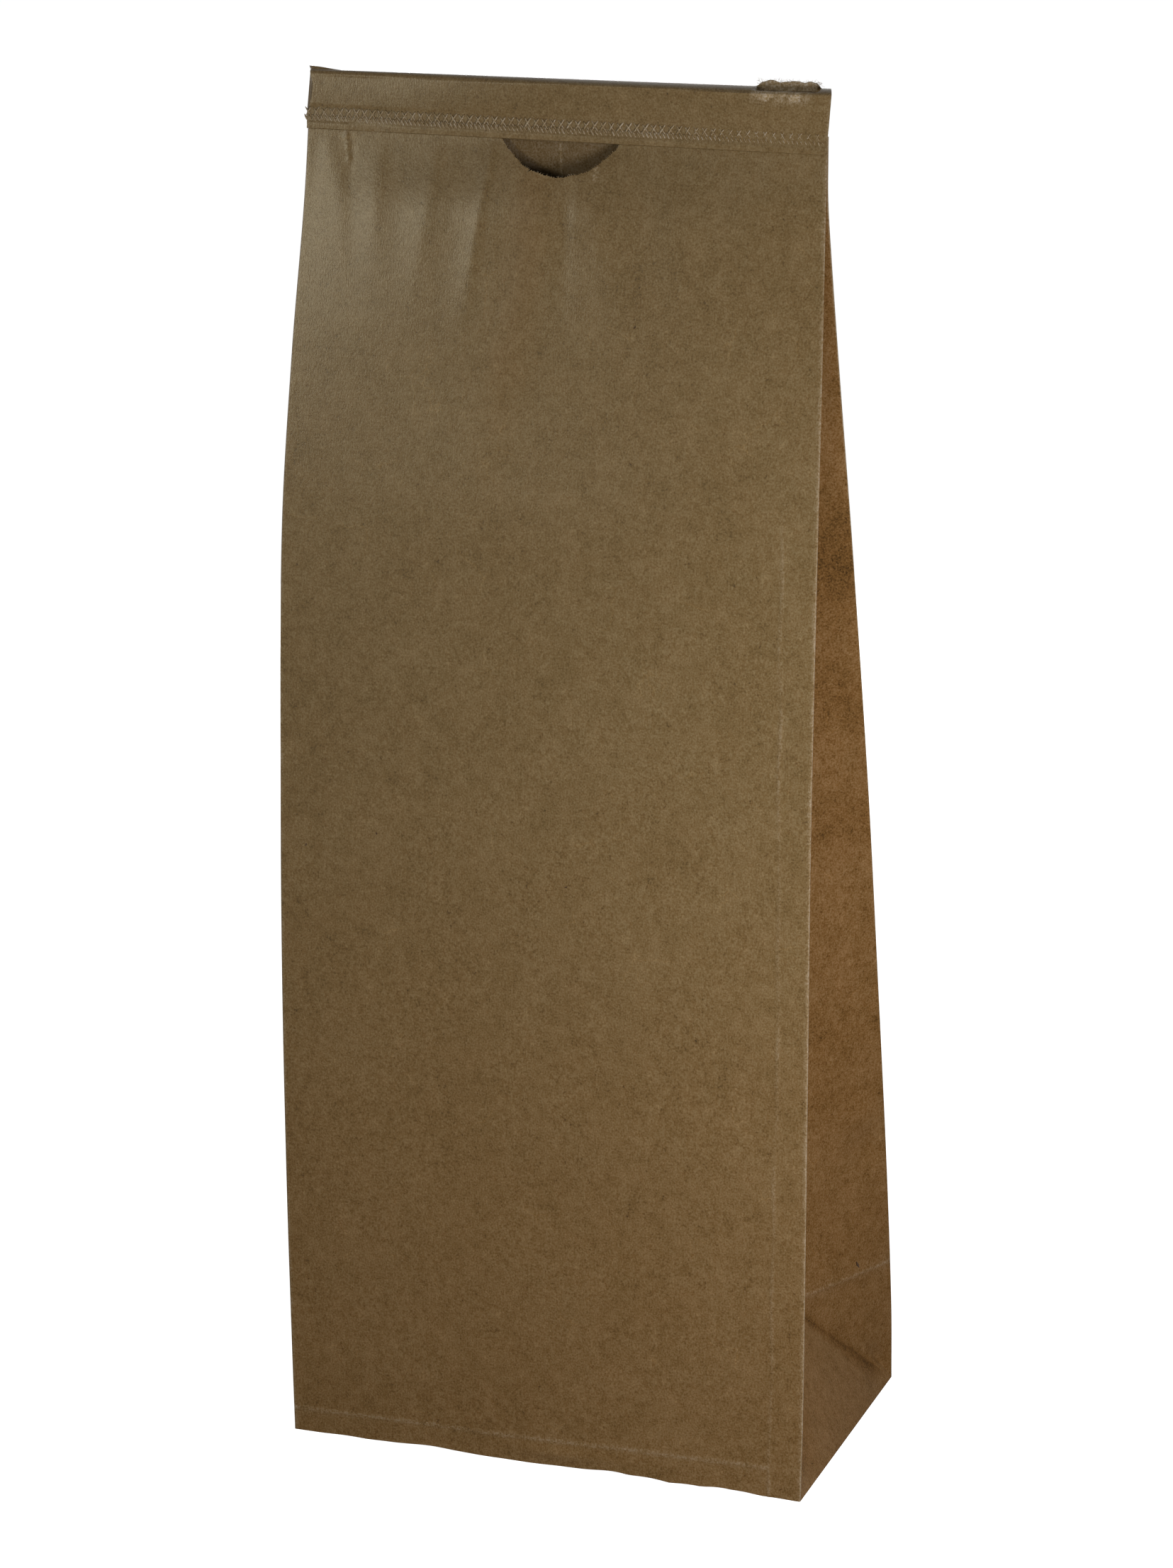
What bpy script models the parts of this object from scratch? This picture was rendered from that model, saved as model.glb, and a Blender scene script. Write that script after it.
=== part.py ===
"""A brown paper bag, folded and glued from one sheet.

It is a block-bottom bag with a gusset in each side. The front stands nearly upright and the back
leans against it, so the bag closes to a flat top. The top is folded forward once and crimped
there, and a thumb notch in the front panel shows just below that fold.

Lengths are in metres. Z is up, the front faces -Y, and the origin is under the middle of the base.
"""
import math

import bmesh
import bpy
from mathutils import Matrix

# Sizes of the bag
BASE_WIDTH = 0.127
BASE_DEPTH = 0.0793
HEIGHT = 0.323
PAPER = 0.0002            # thickness of the sheet
BASE_THICKNESS = 0.0008   # the pasted plies of the base together
PLY_GAP = 0.0002          # air between plies that lie on each other

# How the sides stand
SIDE_BOW = 0.001          # the panels' edges swell out by this at half height
TOP_SETBACK = 0.0146      # the closed top lies this far behind the front edge of the base
TOP_TWIST = math.radians(-2.2)
GUSSET_SLACK = 0.0008     # paper in each half gusset beyond half the base's depth
APEX_HEIGHT = 0.033       # where a gusset's centre crease meets its two diagonals

# The top, folded forward over the front
FLAP_DROP_LEFT = 0.0131
FLAP_DROP_RIGHT = 0.0142
FLAP_SHIFT = 0.0008       # the fold is skewed, so the flap lies this far to the right
FLAP_TAPER = 0.0008       # the flap's left end is cut in by this at the fold
FLAP_THICKNESS = 0.0008
PLY_END_WAVE = 0.0002     # the plies under the fold end this unevenly
CRIMP_ABOVE_EDGE = 0.0016
CRIMP_HEIGHT = 0.0033
TORN_LENGTH = 0.0158      # the fold is torn open over this length
TORN_INSET = 0.0022       # up to this far from its right end
TORN_RAMP = 0.0018
TORN_RISE = 0.0016        # the back plies stand up from the tear by this
TORN_GAP = 0.0010         # and part from the front ply down to this depth
EAR_WIDTH = 0.0060        # the raised tip at the fold's left end
EAR_RISE = 0.0009

# The thumb notch in the front panel
NOTCH_RADIUS = 0.0165
NOTCH_DEPTH = 0.0078      # below the flap's edge

# The puffed part of the bag below the flap
PUFF_FRONT = 0.0026
PUFF_BACK = 0.0030
PUFF_LENGTH = 0.075

# The glued seam down the back
SEAM_LEFT = -0.0005
SEAM_WIDTH = 0.012
SEAM_FADE = 0.003

# The pasted flap that shows under the base
BASE_FLAP_EDGE = 0.012
BASE_FLAP_INSET = 0.003   # its ends start this far in from the base's corners
BASE_FLAP_SLANT = 0.016
BASE_FLAP_STEP = 0.0002

# How finely the sheet is divided
FRONT_COLUMNS = 40
BACK_COLUMNS = 14
PUFF_LEVEL_STEP = 0.006
PLAIN_LEVEL_STEP = 0.014
NOTCH_SEGMENTS = 96
FLAP_STATIONS = 20
FOLD_SEGMENTS = 8
PLY_END_WAVES = 20.0      # radians of the uneven end along the fold

# Sizes that follow from those above
STACK = 4 * PAPER + 3 * PLY_GAP
FOLD_LIP = 2 * PAPER + PLY_GAP
GUSSET_HALF = BASE_DEPTH / 2 + GUSSET_SLACK
FLAP_DROP = (FLAP_DROP_LEFT + FLAP_DROP_RIGHT) / 2
FLAP_EDGE = HEIGHT - FLAP_DROP
NECK_BOTTOM = FLAP_EDGE + CRIMP_ABOVE_EDGE / 2
PLIES_END = FLAP_EDGE + CRIMP_ABOVE_EDGE + CRIMP_HEIGHT / 2
NECK_THICKNESS = STACK + PAPER

# How the bag tapers: share of the height to the flap's edge, share of the base's depth left there,
# share of the setback, and swelling of the edges in units of the bow
TAPER = (
    (0.000, 1.000, 0.00, 0.0),
    (0.065, 0.966, -0.01, 0.4),
    (0.194, 0.871, -0.06, 0.8),
    (0.355, 0.733, -0.09, 1.0),
    (0.516, 0.588, -0.05, 0.9),
    (0.710, 0.349, 0.14, 0.8),
    (0.839, 0.168, 0.49, -0.1),
    (0.935, 0.045, 0.82, -1.2),
    (0.968, 0.010, 0.92, -1.5),
    (1.000, 0.000, 1.00, -1.7),
)

# Flutes in the front panel below the flap: place across at the top and lower end, distance of the
# two ends below the flap's edge, half width, and rise (a trough is negative)
FLUTES = (
    (-0.0460, -0.0435, 0.002, 0.026, 0.0040, 0.0006),
    (-0.0290, -0.0330, 0.001, 0.030, 0.0035, 0.0008),
    (-0.0160, -0.0215, 0.001, 0.042, 0.0030, 0.0010),
    (-0.0090, -0.0125, 0.010, 0.045, 0.0030, -0.0007),
    (-0.0025, -0.0090, 0.010, 0.058, 0.0032, 0.0008),
    (0.0025, 0.0030, 0.010, 0.042, 0.0025, -0.0008),
    (0.0085, 0.0155, 0.010, 0.046, 0.0040, 0.0007),
)
FLUTE_FADE = 0.012


def smoothstep(low, high, value):
    """Rises from 0 at low to 1 at high, level at both ends."""
    t = min(max((value - low) / (high - low), 0.0), 1.0)
    return t * t * (3 - 2 * t)


def taper(height):
    """Depth share, setback share and swelling at a height, on a smooth curve through TAPER."""
    share = min(max(height / FLAP_EDGE, 0.0), 1.0)
    index = 0
    while index < len(TAPER) - 2 and share > TAPER[index + 1][0]:
        index += 1
    low, high = TAPER[index], TAPER[index + 1]
    before = TAPER[max(index - 1, 0)]
    after = TAPER[min(index + 2, len(TAPER) - 1)]
    span = high[0] - low[0]
    t = (share - low[0]) / span
    values = []
    for column in (1, 2, 3):
        slope_low = (high[column] - before[column]) / (high[0] - before[0])
        slope_high = (after[column] - low[column]) / (after[0] - low[0])
        values.append(
            (2 * t ** 3 - 3 * t ** 2 + 1) * low[column]
            + (t ** 3 - 2 * t ** 2 + t) * span * slope_low
            + (3 * t ** 2 - 2 * t ** 3) * high[column]
            + (t ** 3 - t ** 2) * span * slope_high
        )
    return values


def half_width(height):
    return BASE_WIDTH / 2 + SIDE_BOW * taper(height)[2]


def front_y(height):
    return -BASE_DEPTH / 2 + TOP_SETBACK * taper(height)[1]


def depth(height):
    return STACK + (BASE_DEPTH - STACK) * max(taper(height)[0], 0.0)


def twist_y(x, height):
    """How far the twist moves a point back at x."""
    return x * math.tan(TOP_TWIST * min(height / FLAP_EDGE, 1.0))


def puff(x, height):
    """Share of the puff at a point: full in the middle, nothing at the edges or the flap."""
    across = max(1 - (x / half_width(height)) ** 2, 0.0)
    below = FLAP_EDGE - height
    closing = smoothstep(-CRIMP_ABOVE_EDGE / 2, NOTCH_DEPTH * 0.6, below)
    fading = 1 - smoothstep(NOTCH_DEPTH, PUFF_LENGTH, below)
    return across * closing * fading


def flutes(x, height):
    """Rise of the front panel's flutes at a point."""
    below = FLAP_EDGE - height
    rise = 0.0
    for x_top, x_low, start, end, width, crest in FLUTES:
        along = (below - start) / (end - start)
        centre = x_top + (x_low - x_top) * along
        spread = width * (1 + 0.6 * min(max(along, 0.0), 1.5))
        lengthwise = smoothstep(start - 0.001, start + 0.004, below)
        lengthwise *= 1 - smoothstep(end - FLUTE_FADE, end + FLUTE_FADE, below)
        rise += crest * lengthwise * math.exp(-((x - centre) / spread) ** 2)
    return rise


def seam(x):
    """Share of the seam's extra ply on the back: crisp at its free edge, fading at the other."""
    return smoothstep(SEAM_LEFT - PAPER, SEAM_LEFT, x) * (
        1 - smoothstep(SEAM_LEFT + SEAM_WIDTH, SEAM_LEFT + SEAM_WIDTH + SEAM_FADE, x)
    )


def gusset_fold(height):
    """How far in the gusset's centre crease lies, at or above its apex."""
    return math.sqrt(max(GUSSET_HALF ** 2 - (depth(height) / 2) ** 2, 0.0))


def gusset_points(height):
    """The gusset's crease points on the right side, outside and inside the paper.

    Above the apex both points lie at the centre crease. Below it they run down the two
    diagonals to the corners of the base.
    """
    level = max(height, APEX_HEIGHT)
    width = half_width(level)
    middle = front_y(level) + depth(level) / 2
    crease_x = width - gusset_fold(level)
    first = (crease_x, middle - PLY_GAP / 2)
    second = (crease_x, middle + PLY_GAP / 2)
    if height < APEX_HEIGHT:
        rise = height / APEX_HEIGHT
        corner_x = half_width(0.0)
        front_corner = front_y(0.0) + FOLD_LIP
        back_corner = front_y(0.0) + depth(0.0) - FOLD_LIP
        first = (corner_x + (first[0] - corner_x) * rise, front_corner + (first[1] - front_corner) * rise)
        second = (corner_x + (second[0] - corner_x) * rise, back_corner + (second[1] - back_corner) * rise)
    return first, second


def side_points(height, inside):
    """Points of the right side at a height, from the front edge to the back edge."""
    width = half_width(height)
    front = front_y(height)
    back = front + depth(height)
    first, second = gusset_points(height)
    if not inside:
        return [(width, front), (width, front + FOLD_LIP), first, second, (width, back - FOLD_LIP), (width, back)]
    run = math.hypot(width - first[0], first[1] - front - FOLD_LIP)
    lean = 0.0 if run < PAPER else (width - first[0]) / run * PAPER
    edge = width - PAPER
    return [
        (edge, front + PAPER),
        (edge, front + FOLD_LIP - lean),
        (first[0] - PAPER, first[1] - lean),
        (second[0] - PAPER, second[1] + lean),
        (edge, back - FOLD_LIP + lean),
        (edge, back - PAPER),
    ]


def columns(count, extra=()):
    """Places across a panel, as shares of its half width, without the two edges."""
    places = [2 * (i + 1) / (count + 1) - 1 for i in range(count)]
    return sorted(places + list(extra))


def ring(height, inside):
    """One closed loop round the bag at a height, counter-clockwise from the front left edge."""
    right = side_points(height, inside)
    width = right[0][0]
    front, back = right[0][1], right[-1][1]
    points = [(-width, front)]
    for share in columns(FRONT_COLUMNS):
        x = share * width
        points.append((x, front - PUFF_FRONT * puff(x, height) - flutes(x, height)))
    points += right
    seam_places = (SEAM_LEFT - PAPER, SEAM_LEFT, SEAM_LEFT + SEAM_WIDTH, SEAM_LEFT + SEAM_WIDTH + SEAM_FADE)
    extra = [place / width for place in seam_places]
    for share in reversed(columns(BACK_COLUMNS, extra)):
        x = share * width
        ply = 0.0 if inside else PAPER * seam(x)
        fade = 1 - smoothstep(FLAP_EDGE - NOTCH_DEPTH, FLAP_EDGE, height)
        points.append((x, back + PUFF_BACK * puff(x, height) + ply * fade))
    points += [(-x, y) for x, y in reversed(right[1:])]
    return [(x, y + twist_y(x, height), height) for x, y in points]


def levels():
    """Heights of the rings: even steps below the puffed part, and closer ones in it."""
    puff_start = FLAP_EDGE - PUFF_LENGTH
    heights = [0.0]
    for start, end, step in (
        (0.0, APEX_HEIGHT, PLAIN_LEVEL_STEP),
        (APEX_HEIGHT, puff_start, PLAIN_LEVEL_STEP),
        (puff_start, FLAP_EDGE, PUFF_LEVEL_STEP),
        (FLAP_EDGE, PLIES_END, PUFF_LEVEL_STEP),
    ):
        count = max(round((end - start) / step), 1)
        heights += [start + (end - start) * (i + 1) / count for i in range(count)]
    return heights


def is_warped(corners):
    """Whether four corners are too far out of one plane for two skins to keep their distance."""
    a, b, c, d = [corner.co for corner in corners]
    across = (b - a).cross(c - a)
    return across.length > 0 and abs(across.normalized().dot(d - a)) > PAPER / 8


def add_skin(mesh, heights, inside):
    """Adds one side of the paper, closed at the base and open at the top.

    Where the gussets are warped, both sides are split along the same diagonals, so that they
    stay one paper apart.
    """
    loops = [[mesh.verts.new(point) for point in ring(height, inside)] for height in heights]
    count = len(loops[0])
    for low, high in zip(loops, loops[1:]):
        for i in range(count):
            j = (i + 1) % count
            corners = (low[i], low[j], high[j], high[i])
            pieces = [corners]
            if is_warped(corners):
                pieces = [corners[:3], (corners[0], corners[2], corners[3])]
            for piece in pieces:
                mesh.faces.new(reversed(piece) if inside else piece)
    mesh.faces.new(loops[0] if inside else reversed(loops[0]))
    return loops[-1]


def build_sheet():
    """The folded sheet below the flap, as one thin closed body."""
    mesh = bmesh.new()
    outer_top = add_skin(mesh, levels(), False)
    inner_levels = [BASE_THICKNESS] + levels()[1:]
    inner_top = add_skin(mesh, inner_levels, True)
    count = len(outer_top)
    for i in range(count):
        j = (i + 1) % count
        mesh.faces.new((outer_top[i], outer_top[j], inner_top[j], inner_top[i]))
    return mesh


def flap_length():
    return 2 * half_width(FLAP_EDGE) + FLAP_THICKNESS


def torn_places():
    """Where the torn stretch of the fold starts and ends, across."""
    end = flap_length() / 2 - TORN_INSET
    return end - TORN_LENGTH, end


def flap_section(x):
    """The folded top's section at a place across, as offsets back and up from the fold.

    It goes up the back, over the fold, down the front of the flap, and back up behind it to
    the crimp, where the flap is pressed to the plies below.
    """
    share = x / flap_length() + 0.5
    drop = FLAP_DROP_LEFT + (FLAP_DROP_RIGHT - FLAP_DROP_LEFT) * share
    neck = NECK_THICKNESS / 2
    flap_back = -neck - PLY_GAP
    flap_front = flap_back - FLAP_THICKNESS
    radius = (neck - flap_front) / 2
    middle = (neck + flap_front) / 2
    torn_start, torn_end = torn_places()
    torn = smoothstep(torn_start, torn_start + TORN_RAMP, x) * (1 - smoothstep(torn_end - TORN_RAMP, torn_end, x))
    ear = 1 - smoothstep(0.0, EAR_WIDTH, x + flap_length() / 2)
    neck_drop = HEIGHT - NECK_BOTTOM + PLY_END_WAVE * math.sin(PLY_END_WAVES * share)
    points = [(neck, -neck_drop), (neck, -radius)]
    for i in range(1, FOLD_SEGMENTS):
        round_fold = i / FOLD_SEGMENTS
        angle = math.pi * round_fold
        back_plies = 1 - smoothstep(0.3, 0.5, round_fold)
        parted = smoothstep(0.3, 0.5, round_fold) * (1 - smoothstep(0.75, 0.9, round_fold))
        z = -radius + radius * math.sin(angle) + EAR_RISE * ear * back_plies
        z += torn * (TORN_RISE * back_plies - TORN_GAP * parted)
        points.append((middle + radius * math.cos(angle), z))
    points += [
        (flap_front, -radius),
        (flap_front, -drop + CRIMP_ABOVE_EDGE + CRIMP_HEIGHT),
        (flap_front, -drop + CRIMP_ABOVE_EDGE),
        (flap_front, -drop),
        (flap_back, -drop),
        (flap_back, -drop + CRIMP_ABOVE_EDGE),
        (-neck, -drop + CRIMP_ABOVE_EDGE),
        (-neck, -neck_drop),
    ]
    return points


def place_on_top(mesh):
    """Turns and moves the folded top onto the plies that it holds."""
    middle = front_y(FLAP_EDGE) + STACK / 2
    turn = Matrix.Rotation(TOP_TWIST, 4, "Z")
    bmesh.ops.transform(mesh, matrix=Matrix.Translation((0, middle, HEIGHT)) @ turn, verts=mesh.verts)


def flap_places():
    """Places across the folded top for its sections: even ones, and the ends of the tear and the ear."""
    half = flap_length() / 2
    places = [(2 * i / FLAP_STATIONS - 1) * half for i in range(FLAP_STATIONS + 1)]
    start, end = torn_places()
    details = [start, start + TORN_RAMP, end - TORN_RAMP, end, EAR_WIDTH / 2 - half]
    clear = TORN_RAMP / 2
    places = [x for x in places if all(abs(x - detail) > clear for detail in details)]
    return sorted(places + details)


def build_folded_top():
    """The plies above the front panel, folded forward, as a lofted section."""
    mesh = bmesh.new()
    loops = []
    for x in flap_places():
        share = x / flap_length() + 0.5
        loop = []
        for y, z in flap_section(x):
            upward = 1 + z / FLAP_DROP
            cut_in = FLAP_TAPER * (1 - share) * upward if y < 0 else 0.0
            loop.append(mesh.verts.new((x + FLAP_SHIFT * share * upward + cut_in, y, z)))
        loops.append(loop)
    count = len(loops[0])
    for left, right in zip(loops, loops[1:]):
        for i in range(count):
            j = (i + 1) % count
            mesh.faces.new((left[i], left[j], right[j], right[i]))
    mesh.faces.new(reversed(loops[0]))
    mesh.faces.new(loops[-1])
    place_on_top(mesh)
    bmesh.ops.recalc_face_normals(mesh, faces=mesh.faces)
    return mesh


def build_pocket_cutter():
    """The air behind the flap, between the crimp and the fold, open at both ends."""
    mesh = bmesh.new()
    neck = NECK_THICKNESS / 2
    low = -FLAP_DROP_LEFT + CRIMP_ABOVE_EDGE + CRIMP_HEIGHT
    high = -2 * FLAP_THICKNESS - TORN_GAP
    reach = BASE_WIDTH
    size = (reach, PLY_GAP, high - low)
    centre = (0, -neck - PLY_GAP / 2, (low + high) / 2)
    bmesh.ops.create_cube(mesh, size=1, matrix=Matrix.Translation(centre) @ Matrix.Diagonal((*size, 1)))
    place_on_top(mesh)
    return mesh


def build_notch_cutter():
    """A disc through the front panel alone, which cuts the thumb notch."""
    mesh = bmesh.new()
    centre_z = FLAP_EDGE - NOTCH_DEPTH + NOTCH_RADIUS
    wall = front_y(FLAP_EDGE)
    near = wall - PUFF_FRONT - 10 * PAPER
    far = wall + STACK / 2
    turn = Matrix.Rotation(math.pi / 2, 4, "X")
    bmesh.ops.create_cone(
        mesh, cap_ends=True, segments=NOTCH_SEGMENTS, radius1=NOTCH_RADIUS, radius2=NOTCH_RADIUS,
        depth=far - near, matrix=Matrix.Translation((0, (near + far) / 2, centre_z)) @ turn,
    )
    return mesh


def build_base_step_cutter():
    """The shallow step under the base beside the pasted flap's free edge and slanted ends."""
    mesh = bmesh.new()
    front = -BASE_DEPTH
    root_end = BASE_WIDTH / 2 - BASE_FLAP_INSET
    free_end = root_end - BASE_FLAP_SLANT
    outline = [
        (-free_end, BASE_FLAP_EDGE), (free_end, BASE_FLAP_EDGE), (root_end, -BASE_DEPTH / 2), (root_end, front),
        (BASE_WIDTH, front), (BASE_WIDTH, BASE_DEPTH), (-BASE_WIDTH, BASE_DEPTH),
        (-BASE_WIDTH, front), (-root_end, front), (-root_end, -BASE_DEPTH / 2),
    ]
    low = [mesh.verts.new((x, y, -BASE_THICKNESS)) for x, y in outline]
    high = [mesh.verts.new((x, y, BASE_FLAP_STEP)) for x, y in outline]
    mesh.faces.new(reversed(low))
    mesh.faces.new(high)
    count = len(outline)
    for i in range(count):
        j = (i + 1) % count
        mesh.faces.new((low[i], low[j], high[j], high[i]))
    bmesh.ops.recalc_face_normals(mesh, faces=mesh.faces)
    return mesh


def as_object(mesh, name, is_tool=False):
    """Makes an object of a bmesh. A tool is hidden from renders and drawn as a wire."""
    data = bpy.data.meshes.new(name)
    mesh.to_mesh(data)
    mesh.free()
    thing = bpy.data.objects.new(name, data)
    bpy.context.scene.collection.objects.link(thing)
    if is_tool:
        thing.hide_render = True
        thing.display_type = "WIRE"
    return thing


def combine(target, tool, operation):
    """Adds a live Boolean of a tool to the bag."""
    modifier = target.modifiers.new(tool.name, "BOOLEAN")
    modifier.operation = operation
    modifier.solver = "EXACT"
    modifier.object = tool


def kraft_paper():
    material = bpy.data.materials.new("brown_kraft_paper")
    material.use_nodes = True
    shader = material.node_tree.nodes["Principled BSDF"]
    shader.inputs["Base Color"].default_value = (0.20, 0.13, 0.07, 1.0)
    shader.inputs["Roughness"].default_value = 0.75
    shader.inputs["Metallic"].default_value = 0.0
    return material


def build():
    for thing in list(bpy.data.objects):
        bpy.data.objects.remove(thing, do_unlink=True)
    bag = as_object(build_sheet(), "paper_bag")
    bag.data.materials.append(kraft_paper())
    combine(bag, as_object(build_notch_cutter(), "notch_cutter", True), "DIFFERENCE")
    combine(bag, as_object(build_base_step_cutter(), "base_step_cutter", True), "DIFFERENCE")
    combine(bag, as_object(build_folded_top(), "folded_top", True), "UNION")
    combine(bag, as_object(build_pocket_cutter(), "pocket_cutter", True), "DIFFERENCE")


build()
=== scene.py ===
# %% [markdown]
# # A brown paper bag, folded over and crimped at the top
#
# The real object is one sheet of brown kraft paper, glued into a tube with a gusset in each side
# and folded under into a block bottom. It has been used: its top is folded forward once and
# crimped, one end of that fold is torn open, and the front has soft flutes below it. This lesson
# builds that sheet as a mesh, fold by fold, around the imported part, and then gives it its paper.

import math

import bmesh
import bpy
import numpy as np
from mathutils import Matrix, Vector


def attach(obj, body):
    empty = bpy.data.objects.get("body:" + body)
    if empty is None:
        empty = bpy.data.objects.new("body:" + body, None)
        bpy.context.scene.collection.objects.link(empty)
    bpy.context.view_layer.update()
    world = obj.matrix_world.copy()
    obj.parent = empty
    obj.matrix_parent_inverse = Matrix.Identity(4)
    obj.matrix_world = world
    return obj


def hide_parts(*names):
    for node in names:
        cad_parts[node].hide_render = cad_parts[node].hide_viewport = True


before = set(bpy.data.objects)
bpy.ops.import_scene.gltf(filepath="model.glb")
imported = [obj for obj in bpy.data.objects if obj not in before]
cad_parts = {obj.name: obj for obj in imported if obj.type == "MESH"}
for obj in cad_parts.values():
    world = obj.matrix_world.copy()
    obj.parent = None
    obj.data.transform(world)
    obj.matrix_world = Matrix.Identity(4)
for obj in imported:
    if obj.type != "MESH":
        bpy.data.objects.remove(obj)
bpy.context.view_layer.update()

# %% [markdown]
# ## The bag's own sizes
#
# The bag stands on a base of 127 by 79 mm. Its front panel is nearly upright, the back leans
# against it, and both meet under the fold. The part's source describes this with a short table of
# heights and a smooth curve through it, and the same table serves here, so that the paper lies
# where the part's walls are. Everything is in metres, with the front facing -Y.

# %% Sizes and the tapering curve
BASE_WIDTH = 0.127
BASE_DEPTH = 0.0793
HEIGHT = 0.323
PAPER = 0.0002
PLY_GAP = 0.0002
SIDE_BOW = 0.001
TOP_SETBACK = 0.0146
TOP_TWIST = math.radians(-2.2)
APEX_HEIGHT = 0.033
FLAP_DROP_LEFT = 0.0131
FLAP_DROP_RIGHT = 0.0142
FLAP_DROP = (FLAP_DROP_LEFT + FLAP_DROP_RIGHT) / 2
FLAP_EDGE = HEIGHT - FLAP_DROP
STACK = 4 * PAPER + 3 * PLY_GAP
FOLD_LIP = 2 * PAPER + PLY_GAP
GUSSET_HALF = BASE_DEPTH / 2 + 0.0008

# Share of the height, share of the base's depth, share of the setback, swelling of the edges
TAPER = np.array([
    (0.000, 1.000, 0.00, 0.0),
    (0.065, 0.966, -0.01, 0.4),
    (0.194, 0.871, -0.06, 0.8),
    (0.355, 0.733, -0.09, 1.0),
    (0.516, 0.588, -0.05, 0.9),
    (0.710, 0.349, 0.14, 0.8),
    (0.839, 0.168, 0.49, -0.1),
    (0.935, 0.045, 0.82, -1.2),
    (0.968, 0.010, 0.92, -1.5),
    (1.000, 0.000, 1.00, -1.7),
])


def smoothstep(low, high, value):
    """Rises from 0 at low to 1 at high, level at both ends."""
    t = np.clip((value - low) / (high - low), 0.0, 1.0)
    return t * t * (3 - 2 * t)


def taper(height, column):
    """One column of TAPER at some heights, on a smooth curve through the table."""
    share = np.clip(np.asarray(height, dtype=float) / FLAP_EDGE, 0.0, 1.0)
    low = np.clip(np.searchsorted(TAPER[:, 0], share) - 1, 0, len(TAPER) - 2)
    high, before, after = low + 1, np.maximum(low - 1, 0), np.minimum(low + 2, len(TAPER) - 1)
    place, value = TAPER[:, 0], TAPER[:, column]
    span = place[high] - place[low]
    t = (share - place[low]) / span
    slope_low = (value[high] - value[before]) / (place[high] - place[before])
    slope_high = (value[after] - value[low]) / (place[after] - place[low])
    return (
        (2 * t ** 3 - 3 * t ** 2 + 1) * value[low] + (t ** 3 - 2 * t ** 2 + t) * span * slope_low
        + (3 * t ** 2 - 2 * t ** 3) * value[high] + (t ** 3 - t ** 2) * span * slope_high
    )


def half_width(height):
    return BASE_WIDTH / 2 + SIDE_BOW * taper(height, 3)


def front_y(height):
    return -BASE_DEPTH / 2 + TOP_SETBACK * taper(height, 2)


def depth(height):
    return STACK + (BASE_DEPTH - STACK) * np.maximum(taper(height, 1), 0.0)


def twist_y(x, height):
    return x * math.tan(TOP_TWIST) * np.minimum(height / FLAP_EDGE, 1.0)


print("Half way up the bag is", round(1000 * float(depth(FLAP_EDGE / 2)), 1), "mm deep")

# %% [markdown]
# ## Soft shapes in the paper
#
# Paper keeps the marks of its use. Here the closed top pushes the front and the back apart just
# below the fold, and the thumb notch lets the front buckle into a fan of flutes. The panels are
# never quite flat, either. Each of these is a height added to a panel, written as a sum of bumps,
# so their number, length and place are easy to read and to change. Sculpting would do the same,
# but nobody could then say how high a flute is.

# %% Puff, flutes and waves of the panels
NOTCH_RADIUS = 0.0165
NOTCH_DEPTH = 0.0078
PUFF_FRONT = 0.0026
PUFF_BACK = 0.0030
PUFF_LENGTH = 0.075
CRIMP_ABOVE_EDGE = 0.0016

# Place across at the top and low end, distance of both ends below the fold, half width, rise
FLUTES = (
    (0.0000, 0.0000, -0.002, 0.015, 0.0130, 0.0009),
    (-0.0560, -0.0530, 0.000, 0.018, 0.0014, 0.00012),
    (-0.0500, -0.0490, 0.002, 0.030, 0.0018, -0.00010),
    (-0.0455, -0.0438, 0.000, 0.024, 0.0012, 0.00014),
    (-0.0380, -0.0385, 0.002, 0.030, 0.0024, -0.00010),
    (-0.0290, -0.0328, 0.000, 0.028, 0.0012, 0.00014),
    (-0.0230, -0.0270, 0.003, 0.036, 0.0022, -0.00012),
    (-0.0160, -0.0208, 0.000, 0.036, 0.0012, 0.00020),
    (-0.0100, -0.0135, 0.010, 0.042, 0.0028, -0.00012),
    (-0.0025, -0.0087, 0.009, 0.050, 0.0030, 0.00012),
    (0.0023, 0.0029, 0.009, 0.036, 0.0016, -0.00014),
    (0.0082, 0.0153, 0.010, 0.040, 0.0030, 0.00012),
    (0.0190, 0.0230, 0.004, 0.030, 0.0028, -0.00010),
    (0.0270, 0.0300, 0.002, 0.026, 0.0026, 0.00010),
    (0.0420, 0.0440, 0.002, 0.022, 0.0030, 0.00010),
)


def puff(x, height):
    """Share of the puff: full in the middle, nothing at the edges or at the fold."""
    across = np.maximum(1 - (x / half_width(height)) ** 2, 0.0)
    below = FLAP_EDGE - height
    closing = smoothstep(-CRIMP_ABOVE_EDGE / 2, NOTCH_DEPTH * 2.4, below)
    return across * closing * (1 - smoothstep(NOTCH_DEPTH, PUFF_LENGTH, below))


def flutes(x, height):
    """Height of the fan of flutes below the fold."""
    below = FLAP_EDGE - height
    rise = np.zeros(np.broadcast(x, height).shape)
    for x_top, x_low, start, end, width, crest in FLUTES:
        along = (below - start) / (end - start)
        centre = x_top + (x_low - x_top) * along
        spread = width * (1 + 0.6 * np.clip(along, 0.0, 1.5))
        lengthwise = smoothstep(start - 0.002, start + 0.009, below)
        lengthwise = lengthwise * (1 - smoothstep(end - 0.012, end + 0.012, below))
        rise = rise + crest * lengthwise * np.exp(-((x - centre) / spread) ** 2)
    return rise


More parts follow.
